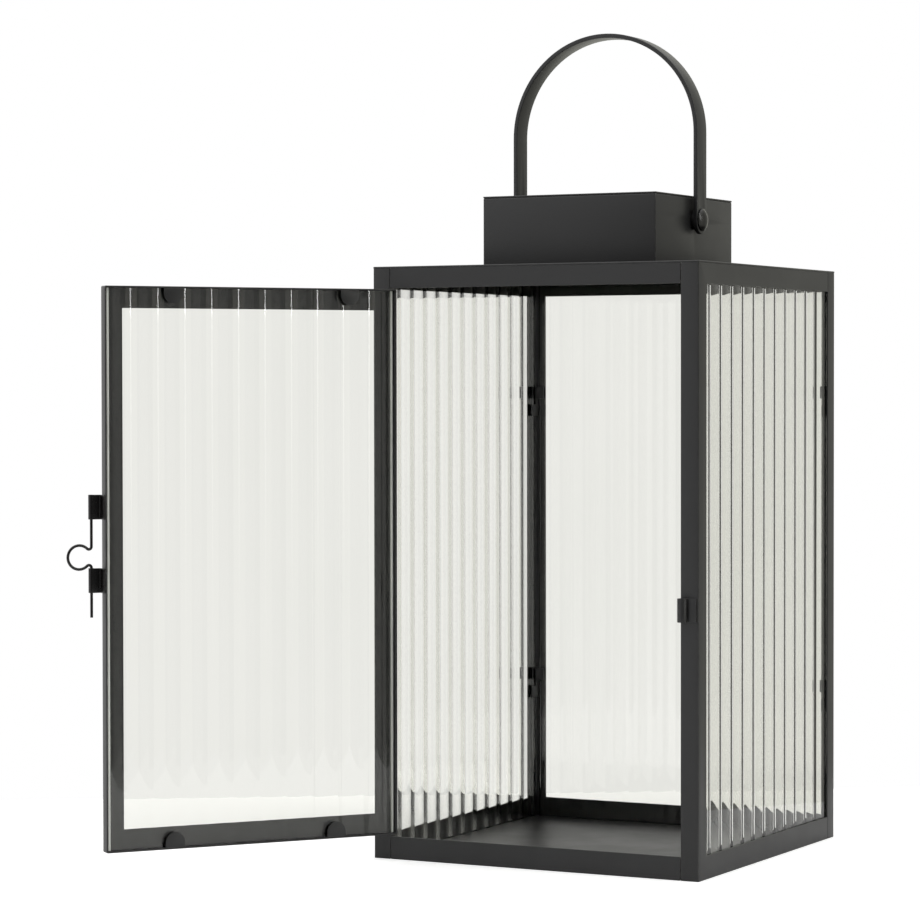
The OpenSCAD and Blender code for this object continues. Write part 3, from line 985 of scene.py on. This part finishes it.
@dataclass
class Studio:
    """A white sweep behind, pale walls left and right, a dark side at the camera and a strip light.

    Bearings are in degrees from the camera's side of the lantern, positive to the camera's right.
    Levels are shares of white. walls pairs a bearing with a level, and strip_fall pairs degrees
    above the horizon with the share of strip_level there.
    """

    facing: float = PhotoCamera.azimuth
    walls: tuple[tuple[float, float], ...] = (
        (-180, 1.0), (-112, 1.0), (-95, 0.95), (-42, 0.9), (-28, 0.14), (0, 0.14), (48, 0.14),
        (50, 0.80), (84, 0.75), (96, 0.48), (142, 0.45), (156, 1.0), (180, 1.0))
    warm_from: float = 50.0
    warmth: float = 0.90
    glass_clear: float = 0.95
    glass_dim: float = 0.40
    ceiling: float = 1.5
    ceiling_rise: Point2 = (0.45, 0.75)
    strip_bearing: float = 65.3
    strip_width: float = 2.8
    strip_blur: float = 0.1
    strip_level: float = 12.0
    strip_top: Point2 = (0.6, 0.5)
    strip_fall: tuple[tuple[float, float], ...] = (
        (-5.5, 0.0), (-3.4, 0.03), (-0.9, 0.11), (1.2, 0.17), (1.36, 0.9), (1.8, 1.0))
    fall_scale: float = 5.0
    back_half: Point2 = (0.24, 0.27)
    straight_depth: float = 1.5
    table_back: float = 1.905
    table_slant: float = 6.0
    table_reach: tuple[float, float, float] = (3.0, 0.50, 0.66)
    table_drop: float = 0.1 * MM
    table_colour: Colour = (0.80, 0.80, 0.80)
    table_roughness: float = 0.9
    table_sheen: float = 0.1
    camera_lift: float = 0.50
    glass_lift: float = 0.22

    def build(self) -> None:
        """Builds the world and the table."""
        self.build_world()
        self.build_table()
        bpy.context.scene.view_settings.view_transform = "Standard"

    def build_world(self) -> None:
        """Makes a world that is white to the camera and a plain soft studio to everything else.

        What is seen through glass never falls below glass_dim of white. It never falls below
        glass_clear where the ray was reflected nowhere, or looks at the back half of the studio. A
        ray that was reflected nowhere is one deeper here than its transmissions.
        """
        world = bpy.data.worlds.new("studio")
        world.use_nodes = True
        bpy.context.scene.world = world
        world.node_tree.nodes.clear()
        wires = Wiring(world.node_tree)
        aim = wires.node("ShaderNodeSeparateXYZ", {
            0: wires.node("ShaderNodeTexCoord").outputs["Generated"]}).outputs
        bearing = wires.math("ARCTAN2", aim["X"], wires.times(aim["Y"], -1.0))
        place = wires.math("FRACT", wires.minus(
            wires.math("DIVIDE", bearing, 2 * math.pi), self.facing / 360 - 0.5))
        walls = self.ramp(wires, place, [
            ((angle + 180) / 360,
             (level, level, level * (self.warmth if angle >= self.warm_from else 1.0)))
            for angle, level in self.walls])
        overhead = wires.step(aim["Z"], *self.ceiling_rise)
        room = wires.mix(overhead, walls, rgba((self.ceiling,) * 3))
        plain = wires.node("ShaderNodeSeparateColor", {0: room}).outputs[0]
        lit = wires.node("ShaderNodeVectorMath", {0: room, 1: self.strip(wires, place, aim["Z"])},
                         operation="ADD").outputs[0]
        path = wires.node("ShaderNodeLightPath").outputs
        turned_back = wires.minus(path["Ray Depth"], path["Transmission Depth"])
        straight = wires.math("LESS_THAN", turned_back, self.straight_depth)
        behind = wires.step(wires.math("ABSOLUTE", wires.minus(place, 0.5)), *self.back_half)
        clear = wires.math("MAXIMUM", straight, behind)
        floor = wires.plus(self.glass_dim, wires.times(clear, self.glass_clear - self.glass_dim))
        through = wires.math("MAXIMUM", wires.math("MINIMUM", plain, 1.0), floor)
        seen = wires.mix(path["Is Transmission Ray"], lit, through)
        white = wires.mix(path["Is Camera Ray"], seen, rgba((1.0, 1.0, 1.0)))
        light = wires.node("ShaderNodeBackground", {"Color": white, "Strength": 1.0})
        wires.node("ShaderNodeOutputWorld", {"Surface": light.outputs[0]})

    def strip(self, wires: Wiring, place: bpy.types.NodeSocket,
              height: bpy.types.NodeSocket) -> bpy.types.NodeSocket:
        """Adds the upright strip light, which fades out below its lower end.

        Args:
            wires: The world's node tree.
            place: Bearing of the ray, 0 to 1 from behind round the left.
            height: The upward part of the ray's direction.

        Returns:
            The strip's light there.
        """
        sideways = wires.math("ABSOLUTE", wires.minus(place, (self.strip_bearing + 180) / 360))
        edge = self.strip_width / 2 / 360
        band = wires.step(sideways, edge * (1 + self.strip_blur), edge * (1 - self.strip_blur))
        fall = self.ramp(wires, wires.plus(wires.times(height, self.fall_scale), 0.5), [
            (0.5 + self.fall_scale * math.sin(math.radians(rise)), (level,) * 3)
            for rise, level in self.strip_fall])
        level = wires.node("ShaderNodeSeparateColor", {0: fall}).outputs[0]
        return wires.times(wires.times(band, self.strip_level),
                           wires.times(level, wires.step(height, *self.strip_top)))

    @staticmethod
    def ramp(wires: Wiring, place: bpy.types.NodeSocket,
             stops: list[tuple[float, Colour]]) -> bpy.types.NodeSocket:
        """Adds a ramp of colours.

        Args:
            wires: The world's node tree.
            place: Where on the ramp to read, 0 to 1.
            stops: Places and their colours, from left to right.

        Returns:
            The colour there.
        """
        ramp = wires.node("ShaderNodeValToRGB", {0: place})
        marks = ramp.color_ramp.elements
        while len(marks) < len(stops):
            marks.new(0.5)
        for mark, (spot, colour) in zip(marks, stops):
            mark.position, mark.color = spot, rgba(colour)
        return ramp.outputs[0]

    def build_table(self) -> None:
        """Makes the white table top that the lantern stands on.

        Its far edge lies across the view, and it reaches left, right and towards the camera.
        """
        slant = math.radians(self.facing + self.table_slant)
        away = Vector((-math.sin(slant), math.cos(slant), 0.0))
        side = Vector((away.y, -away.x, 0.0))
        edge = Vector((*PhotoCamera.place[:2], -self.table_drop)) + away * self.table_back
        bm = bmesh.new()
        left, right, depth = self.table_reach
        bm.faces.new([bm.verts.new(edge + side * s - away * d)
                      for s, d in ((-left, depth), (right, depth), (right, 0.0), (-left, 0.0))])
        table = bpy.data.objects.new("table_top", finished_mesh("table_top", bm))
        bpy.context.scene.collection.objects.link(table)
        made = bpy.data.materials.new("table_white")
        made.use_nodes = True
        wires = Wiring(made.node_tree)
        shader = made.node_tree.nodes["Principled BSDF"]
        shader.inputs["Base Color"].default_value = rgba(self.table_colour)
        shader.inputs["Roughness"].default_value = self.table_roughness
        shader.inputs["Specular IOR Level"].default_value = self.table_sheen
        path = wires.node("ShaderNodeLightPath").outputs
        lift = wires.plus(wires.times(path["Is Camera Ray"], self.camera_lift),
                          wires.times(path["Is Transmission Ray"], self.glass_lift))
        shader.inputs["Emission Color"].default_value = rgba((1.0, 1.0, 1.0))
        made.node_tree.links.new(lift, shader.inputs["Emission Strength"])
        table.data.materials.append(made)
        log.info("studio: world and table top")


@dataclass
class SheetBody:
    """The box of the lantern: floor tray, three bent sheet frames, front rails and top plate."""

    finishes: Finishes
    half: float = 90.0 * MM
    height: float = 300.0 * MM
    post: float = 9.5 * MM
    sheet: float = 0.8 * MM
    seam: float = 0.3 * MM
    window_low: float = 11.6 * MM
    window_high: float = 290.0 * MM
    plate: float = 1.0 * MM
    chimney_half: float = 40.0 * MM
    plate_mitre: float = 30.0 * MM
    frames: Softening = Softening()
    plate_soft: Softening = Softening(fold=0.0, cut=0.35 * MM)

    def build(self) -> None:
        """Builds each sheet with rounded folds and cut edges."""
        self.side_frame("left_frame", -1)
        self.side_frame("right_frame", 1)
        self.back_frame()
        self.top_plate()
        for node in ("front_top_rail", "front_bottom_rail", "base_tray"):
            SoftenedCopy(node, "sheet", self.frames).build(self.finishes.coat)

    def add(self, node: str, skin: SheetSkin) -> None:
        """Adds a bent side or back sheet of the body.

        Args:
            node: The CAD node.
            skin: Its outer skin.
        """
        middle = Vector((0.0, 0.0, self.height / 2))
        mesh = skin.mesh(f"{node}_sheet", self.sheet, middle, self.frames)
        add_piece(f"{node}_sheet", mesh, Body.LANTERN, node, self.finishes.coat)

    def side_frame(self, node: str, side: int) -> None:
        """Builds a side sheet: a corner post folded round the front, and two rails.

        Args:
            node: The CAD node.
            side: -1 on the left and 1 on the right.
        """
        window = self.half - self.post
        opening = Opening((-self.half, 0.0), (window - self.seam, self.height),
                          (-window, self.window_low), (window - self.seam, self.window_high),
                          open_end=True)
        skin = SheetSkin()
        skin.add(opening.polygons(), lambda y, z: Vector((side * self.half, y, z)))
        fold = [Vector((side * self.half, -self.half, z)) for z in (0.0, self.height)]
        skin.flange(fold, Vector((-side * self.post, 0.0, 0.0)))
        self.add(node, skin)

    def back_frame(self) -> None:
        """Builds the back sheet, whose flanges wrap round onto both sides."""
        window = self.half - self.post
        opening = Opening((-self.half, 0.0), (self.half, self.height),
                          (-window, self.window_low), (window, self.window_high))
        skin = SheetSkin()
        skin.add(opening.polygons(), lambda x, z: Vector((x, self.half, z)))
        for side in (-1, 1):
            fold = [Vector((side * self.half, self.half, z)) for z in (0.0, self.height)]
            skin.flange(fold, Vector((0.0, -self.post, 0.0)))
        self.add("back_frame", skin)

    def top_plate(self) -> None:
        """Builds the top plate round the chimney's opening."""
        hole = self.chimney_half
        opening = Opening((-self.half, -self.half), (self.half, self.half), (-hole, -hole),
                          (hole, hole), mitre=self.plate_mitre)
        top = self.height + self.plate
        skin = SheetSkin()
        skin.add(opening.polygons(), lambda x, y: Vector((x, y, top)))
        mesh = skin.mesh("top_plate_sheet", self.plate, Vector(), self.plate_soft)
        add_piece("top_plate_sheet", mesh, Body.LANTERN, "top_plate", self.finishes.coat)


@dataclass
class Cupola:
    """The chimney walls under a flat cap with vent holes."""

    finishes: Finishes
    cap_half: float = 48.5 * MM
    cap_top: float = 337.5 * MM
    lip: float = 6.7 * MM
    lip_half: float = 47.6 * MM
    sheet: float = 0.8 * MM
    vent_r: float = 4.0 * MM
    vent_pitch: float = 20.0 * MM
    vent_sides: int = 32
    softening: Softening = Softening(fold=0.7 * MM, cut=0.14 * MM)
    plate_soft: Softening = Softening(fold=0.0, cut=0.25 * MM)

    def build(self) -> None:
        """Builds the walls and the cap."""
        low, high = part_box("pivot_screws")
        bores = ((1, 0.0), (2, (low.z + high.z) / 2))
        coat = self.finishes.coat
        SoftenedCopy("cupola_walls", "sheet", self.softening, centres=bores).build(coat)
        add_piece("cupola_cap_sheet", self.cap(), Body.LANTERN, "cupola_cap", coat)

    def vent_cell(self, column: int, row: int) -> list[list[Point2]]:
        """Divides the square of sheet round one vent hole.

        Args:
            column: The hole's place from left to right, -1 to 1.
            row: The hole's place from front to back, -1 to 1.

        Returns:
            Quads between the hole and the square.
        """
        middle = (column * self.vent_pitch, row * self.vent_pitch)
        hole = arc(middle, self.vent_r, 45, 405, self.vent_sides)
        reach = self.vent_pitch / 2
        edge = []
        for x, y in arc((0.0, 0.0), 1.0, 45, 405, self.vent_sides):
            scale = reach / max(abs(x), abs(y))
            edge.append((middle[0] + x * scale, middle[1] + y * scale))
        return [[hole[i], edge[i], edge[i + 1], hole[i + 1]] for i in range(self.vent_sides)]

    def cap(self) -> bpy.types.Mesh:
        """Builds the cap: a perforated top with a lip under it, inside the walls.

        Returns:
            The cap's mesh.
        """
        top, lip = SheetSkin(), SheetSkin()
        for column in (-1, 0, 1):
            for row in (-1, 0, 1):
                top.add(self.vent_cell(column, row), lambda x, y: Vector((x, y, self.cap_top)))
        field_half, half = 1.5 * self.vent_pitch, self.cap_half
        steps = self.vent_sides // 4
        turns = [math.tan(math.radians(-45 + 90 * i / steps)) * self.vent_pitch / 2
                 for i in range(steps)]
        marks = [c * self.vent_pitch + t for c in (-1, 0, 1) for t in turns] + [field_half]
        under = self.cap_top - self.sheet
        for turn in range(4):
            spin = Matrix.Rotation(turn * math.pi / 2, 3, "Z")
            inner = [spin @ Vector((field_half, m, self.cap_top)) for m in marks]
            outer = [spin @ Vector((half, m * half / field_half, self.cap_top)) for m in marks]
            for i in range(len(marks) - 1):
                corners = (inner[i], outer[i], outer[i + 1], inner[i + 1])
                top.bm.faces.new([top.bm.verts.new(p) for p in corners])
            fold = [spin @ Vector((self.lip_half, side * self.lip_half, under)) for side in (-1, 1)]
            lip.flange(fold, Vector((0.0, 0.0, self.sheet - self.lip)))
        both, middle = bmesh.new(), Vector((0.0, 0.0, under))
        both.from_mesh(top.mesh("cupola_cap_top", self.sheet, Vector(), self.plate_soft))
        both.from_mesh(lip.mesh("cupola_cap_lip", self.sheet, middle, self.softening))
        return finished_mesh("cupola_cap_sheet", both)


@dataclass
class GlassPanes:
    """The four ribbed panes, from one rule."""

    finishes: Finishes
    ground: float = 3.0 * MM
    rise: float = 1.0 * MM
    pitch: float = 14.0 * MM
    land: float = 0.4 * MM
    chamfer: float = 1.6 * MM
    door_shift: float = -3.2 * MM
    facets: int = 24
    groove_turn: float = 12.0
    recipe: RibbedPaneRecipe = field(default_factory=RibbedPaneRecipe)

    def build(self) -> None:
        """Builds every pane where its CAD node stands."""
        for node, turn in (("left_pane", -90.0), ("right_pane", 90.0), ("back_pane", 180.0)):
            self.pane(node, turn)
        self.door_pane()

    def sheet(self, width: float, height: float, shift: float,
              edge: bpy.types.Material) -> bpy.types.Mesh:
        """Bakes one pane at the origin.

        Args:
            width: Width of the pane.
            height: Height of the pane.
            shift: Sideways shift of its ribs.
            edge: The finish of its upright chamfered edges; on the door pane, a pale opaque colour
                that paints a bright glint of light through the chamfer.

        Returns:
            The pane's mesh, with sharp grooves and edges.
        """
        mesh = self.recipe.bake(bpy.data.meshes.new("pane_carrier"), self.finishes.glass, {
            "Width": width, "Height": height, "Ground Thickness": self.ground, "Rise": self.rise,
            "Pitch": self.pitch, "Land": self.land, "Shift": shift,
            "Chamfer": self.chamfer, "Facets": self.facets, "Edge Finish": edge})
        mesh.shade_smooth()
        mesh.set_sharp_from_angle(angle=math.radians(self.groove_turn))
        return mesh

    def pane(self, node: str, turn: float) -> None:
        """Builds a pane that stands square in the body.

        Args:
            node: The CAD node.
            turn: Turn about the upright axis, in degrees.
        """
        low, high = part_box(node)
        out = Matrix.Rotation(math.radians(turn), 4, "Z")
        outward = out @ Vector((0.0, -1.0, 0.0))
        along = 1 if abs(outward.x) > 0.5 else 0
        foot = outward * max(low.dot(outward), high.dot(outward)) + Vector((0.0, 0.0, low.z))
        foot[along] = (low[along] + high[along]) / 2
        mesh = self.sheet(high[along] - low[along], high.z - low.z, 0.0, self.finishes.glass)
        mesh.transform(Matrix.Translation(foot) @ out)
        add_piece(f"{node}_glass", mesh, Body.LANTERN, node)

    def door_pane(self) -> None:
        """Builds the pane in the open door."""
        door = DoorPlace()
        low, high = door.closed_box("door_pane")
        # The door pane's chamfered edges get the pale ground-edge colour, a painted glint of light
        # through the chamfer.
        mesh = self.sheet(high.x - low.x, high.z - low.z, self.door_shift, self.finishes.edge)
        mesh.transform(door.opened @ Matrix.Translation(((low.x + high.x) / 2, low.y, low.z)))
        add_piece("door_pane_glass", mesh, Body.DOOR, "door_pane")


@dataclass
class GlassClips:
    """The small bent ears and tabs that hold the panes in."""

    finishes: Finishes
    softening: Softening = Softening(fold=0.5 * MM, cut=0.12 * MM, thickest=1.5 * MM)

    def build(self) -> None:
        """Redoes the clips with softened edges."""
        for node, body in (("corner_clips", Body.LANTERN), ("front_clips", Body.LANTERN),
                           ("door_glass_tabs", Body.DOOR)):
            SoftenedCopy(node, "bent", self.softening, body).build(self.finishes.coat)


@dataclass
class Door:
    """The tray-shaped door frame and its hinges."""

    finishes: Finishes
    sheet: float = 0.8 * MM
    stile: float = 10.6 * MM
    rail: float = 10.7 * MM
    frame_soft: Softening = Softening(fold=0.7 * MM, cut=0.14 * MM)
    hinge_soft: Softening = Softening(fold=0.0, cut=0.1 * MM)

    def build(self) -> None:
        """Builds the frame, both hinges' leaves and the pins."""
        self.tray()
        for node, body in (("hinge_door_leaves", Body.DOOR), ("hinge_post_leaves", Body.LANTERN)):
            SoftenedCopy(node, "bent", self.hinge_soft, body).build(self.finishes.coat)
        pins = SoftenedCopy("hinge_pins", "turned", self.hinge_soft, slot=Slot.HARDWARE)
        pins.build(self.finishes.enamel)

    def tray(self) -> None:
        """Builds the frame: a face with a window, and a flange all round."""
        low, high = DoorPlace().closed_box("door_frame")
        opening = Opening((low.x, low.z), (high.x, high.z),
                          (low.x + self.stile, low.z + self.rail),
                          (high.x - self.stile, high.z - self.rail))
        skin = SheetSkin()
        skin.add(opening.polygons(), lambda x, z: Vector((x, low.y, z)))
        depth = Vector((0.0, high.y - low.y, 0.0))
        for x in (low.x, high.x):
            skin.flange([Vector((x, low.y, low.z)), Vector((x, low.y, high.z))], depth)
        for z in (low.z, high.z):
            skin.flange([Vector((x, low.y, level)) for x, level in opening.along(z)], depth)
        inside = Vector(((low.x + high.x) / 2, high.y, (low.z + high.z) / 2))
        mesh = skin.mesh("door_frame_tray", self.sheet, inside, self.frame_soft)
        mesh.transform(DoorPlace().opened)
        add_piece("door_frame_tray", mesh, Body.DOOR, "door_frame", self.finishes.coat)


@dataclass
class Latch:
    """The bent drop wire, its two curled sleeves on the door and the keeper on the post."""

    finishes: Finishes
    door: DoorPlace = DoorPlace()
    sheet: float = 0.7 * MM
    wire_r: float = 0.7 * MM
    wire_play: float = 0.08 * MM
    wire_x: float = 82.8 * MM
    wire_y: float = -91.88 * MM
    loop_r: float = 5.8 * MM
    loop_reach: float = 6.2 * MM
    loop_z: float = 157.6 * MM
    shoulder_r: float = 1.3 * MM
    keeper_r: float = 1.7 * MM
    keeper_offset: float = 0.5 * MM
    end_run: float = 3.0 * MM
    bend_run: float = 1.0 * MM
    bend_steps: int = 14
    loop_steps: int = 60
    wire_sides: int = 20
    wire_end_turn: float = 40.0
    leg_steps: int = 6
    sleeve_end: float = -205.0
    sleeve_steps: int = 36
    keeper_end: float = 385.0
    keeper_steps: int = 40
    soft: Softening = Softening(fold=0.0, cut=0.12 * MM)

    def build(self) -> None:
        """Builds the sleeves, the keeper and the wire."""
        for node in ("upper_latch_sleeve", "lower_latch_sleeve"):
            self.sleeve(node)
        self.keeper()
        self.wire()

    def curl(self, node: str, path: list[Point2], low: float, high: float, body: Body,
             move: Matrix, finish: bpy.types.Material) -> None:
        """Builds one curled strip.

        Args:
            node: The CAD node that it stands for.
            path: Middle line of the sheet, in plan.
            low: Height of its lower edge.
            high: Height of its upper edge.
            body: The body that it rides on.
            move: Takes it from where it is drawn to its place.
            finish: The finish that it is given.
        """
        mesh = self.soft.finish(f"{node}_curl", curled_strip(path, self.sheet, low, high))
        mesh.transform(move)
        add_piece(f"{node}_curl", mesh, body, node, finish)

    def sleeve(self, node: str) -> None:
        """Builds a sleeve: a leg on the door's edge, an arm and a barrel round the wire.

        Args:
            node: The CAD node.
        """
        low, high = self.door.closed_box(node)
        barrel = self.wire_r + self.wire_play + self.sheet / 2
        leg_x, arm_y, bend = low.x + self.sheet / 2, self.wire_y + barrel, self.sheet
        path = [(leg_x, high.y), *arc((leg_x + bend, arm_y + bend), bend, 180, 270, self.leg_steps),
                *arc((self.wire_x, self.wire_y), barrel, 90, self.sleeve_end, self.sleeve_steps)]
        self.curl(node, path, low.z, high.z, Body.DOOR, self.door.opened,
                  self.finishes.enamel)

    def keeper(self) -> None:
        """Builds the keeper: a plate on the post and an open barrel for the wire's tail."""
        low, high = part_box("latch_keeper")
        centre = (self.wire_x - self.keeper_offset, high.y - self.keeper_r - self.sheet)
        barrel = self.keeper_r + self.sheet / 2
        path = [(high.x, high.y - self.sheet / 2),
                *arc(centre, barrel, 90, self.keeper_end, self.keeper_steps)]
        self.curl("latch_keeper", path, low.z, high.z, Body.LANTERN, Matrix.Identity(4),
                  self.finishes.coat)

    def wire_line(self) -> list[Vector]:
        """Middle line of the wire in the closed door, from its top to its tail.

        Returns:
            The points.
        """
        low, high = self.door.closed_box("latch_wire")
        inset = self.loop_reach - self.shoulder_r
        shoulder_z = math.sqrt((self.shoulder_r + self.loop_r) ** 2 - inset ** 2)
        neck = math.degrees(math.atan2(shoulder_z, inset))
        top, bottom = self.loop_z + shoulder_z, self.loop_z - shoulder_z
        loop = arc((self.loop_reach, self.loop_z), self.loop_r, 180 - neck, neck - 180,
                   self.loop_steps)
        flat = [(0.0, high.z), (0.0, high.z - self.end_run), (0.0, top + self.bend_run),
                *arc((self.shoulder_r, top), self.shoulder_r, 180, 360 - neck, self.bend_steps),
                *loop[1:],
                *arc((self.shoulder_r, bottom), self.shoulder_r, neck, 180, self.bend_steps)[1:],
                (0.0, bottom - self.bend_run), (0.0, low.z + self.end_run), (0.0, low.z)]
        return [Vector((self.wire_x + x, self.wire_y, z)) for x, z in flat]

    def wire(self) -> None:
        """Sweeps the wire along its line."""
        line = bpy.data.curves.new("wire_line", "CURVE")
        line.dimensions = "3D"
        spline = line.splines.new("POLY")
        points = self.wire_line()
        spline.points.add(len(points) - 1)
        for spot, point in zip(spline.points, points):
            spot.co = (*point, 1.0)
        mesh = BentWireRecipe().bake(line, self.finishes.enamel,
                                     {"Radius": self.wire_r, "Sides": self.wire_sides})
        mesh.set_sharp_from_angle(angle=math.radians(self.wire_end_turn))
        mesh.transform(self.door.opened)
        add_piece("latch_wire_bent", mesh, Body.LATCH, "latch_wire")


@dataclass
class Handle:
    """The bent strap on two domed screws, with its washers and nuts."""

    finishes: Finishes
    head_r: float = 5.75 * MM
    head_h: float = 2.6 * MM
    shank_r: float = 2.5 * MM
    rim: float = 0.45 * MM
    head_edge: float = 0.15 * MM
    shank_edge: float = 0.3 * MM
    dome_steps: int = 14
    sides: int = 48
    strap_soft: Softening = Softening(fold=0.0, cut=0.35 * MM)
    small_soft: Softening = Softening(fold=0.0, cut=0.25 * MM)
    repeat: RepeatRecipe = field(default_factory=RepeatRecipe)

    def build(self) -> None:
        """Builds the strap, the screws and what is on them."""
        low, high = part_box("pivot_screws")
        centres = ((1, 0.0), (2, (low.z + high.z) / 2))
        coat = self.finishes.coat
        strap = SoftenedCopy("handle_strap", "bent", self.strap_soft, Body.HANDLE, centres=centres)
        strap.build(coat)
        self.screws()
        for node in ("spacer_washers", "screw_nuts"):
            SoftenedCopy(node, "turned", self.small_soft, centres=centres).build(coat)

    def screws(self) -> None:
        """Turns one domed screw and puts it at both pivots."""
        low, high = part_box("pivot_screws")
        pivot_z, tip = (low.z + high.z) / 2, high.x
        base = tip - self.head_h
        shank = min(abs(v.co.x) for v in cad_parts["pivot_screws"].data.vertices)
        rise, steps = self.head_h - self.rim, self.dome_steps
        dome = (self.head_r ** 2 + rise ** 2) / (2 * rise)
        cap = [(dome * math.sin(t), tip - dome * (1 - math.cos(t)))
               for t in (math.asin(self.head_r / dome) * (1 - i / steps) for i in range(steps))]
        profile = [(0.0, shank), (self.shank_r - self.shank_edge, shank),
                   (self.shank_r, shank + self.shank_edge), (self.shank_r, base),
                   (self.head_r - self.head_edge, base), (self.head_r, base + self.head_edge), *cap,
                   (0.0, tip)]
        bm = lathe(profile, self.sides)
        bm.faces.layers.float.new(EDGE_MASK)
        shade_curved(bm)
        places = [(Vector((0.0, 0.0, pivot_z)), Vector((0.0, side * math.pi / 2, 0.0)))
                  for side in (-1, 1)]
        mesh = self.repeat.repeat(bm, places, self.finishes.enamel)
        add_piece("pivot_screws_domed", mesh, Body.LANTERN, "pivot_screws")


def main() -> None:
    """Builds the camera, the studio and the lantern, piece by piece."""
    logging.basicConfig(level=logging.INFO, format="%(name)s: %(message)s")
    PhotoCamera().build()
    Studio().build()
    finishes = Finishes.build()
    SheetBody(finishes).build()
    Cupola(finishes).build()
    GlassPanes(finishes).build()
    GlassClips(finishes).build()
    Door(finishes).build()
    Latch(finishes).build()
    Handle(finishes).build()


if __name__ == "__main__":
    main()
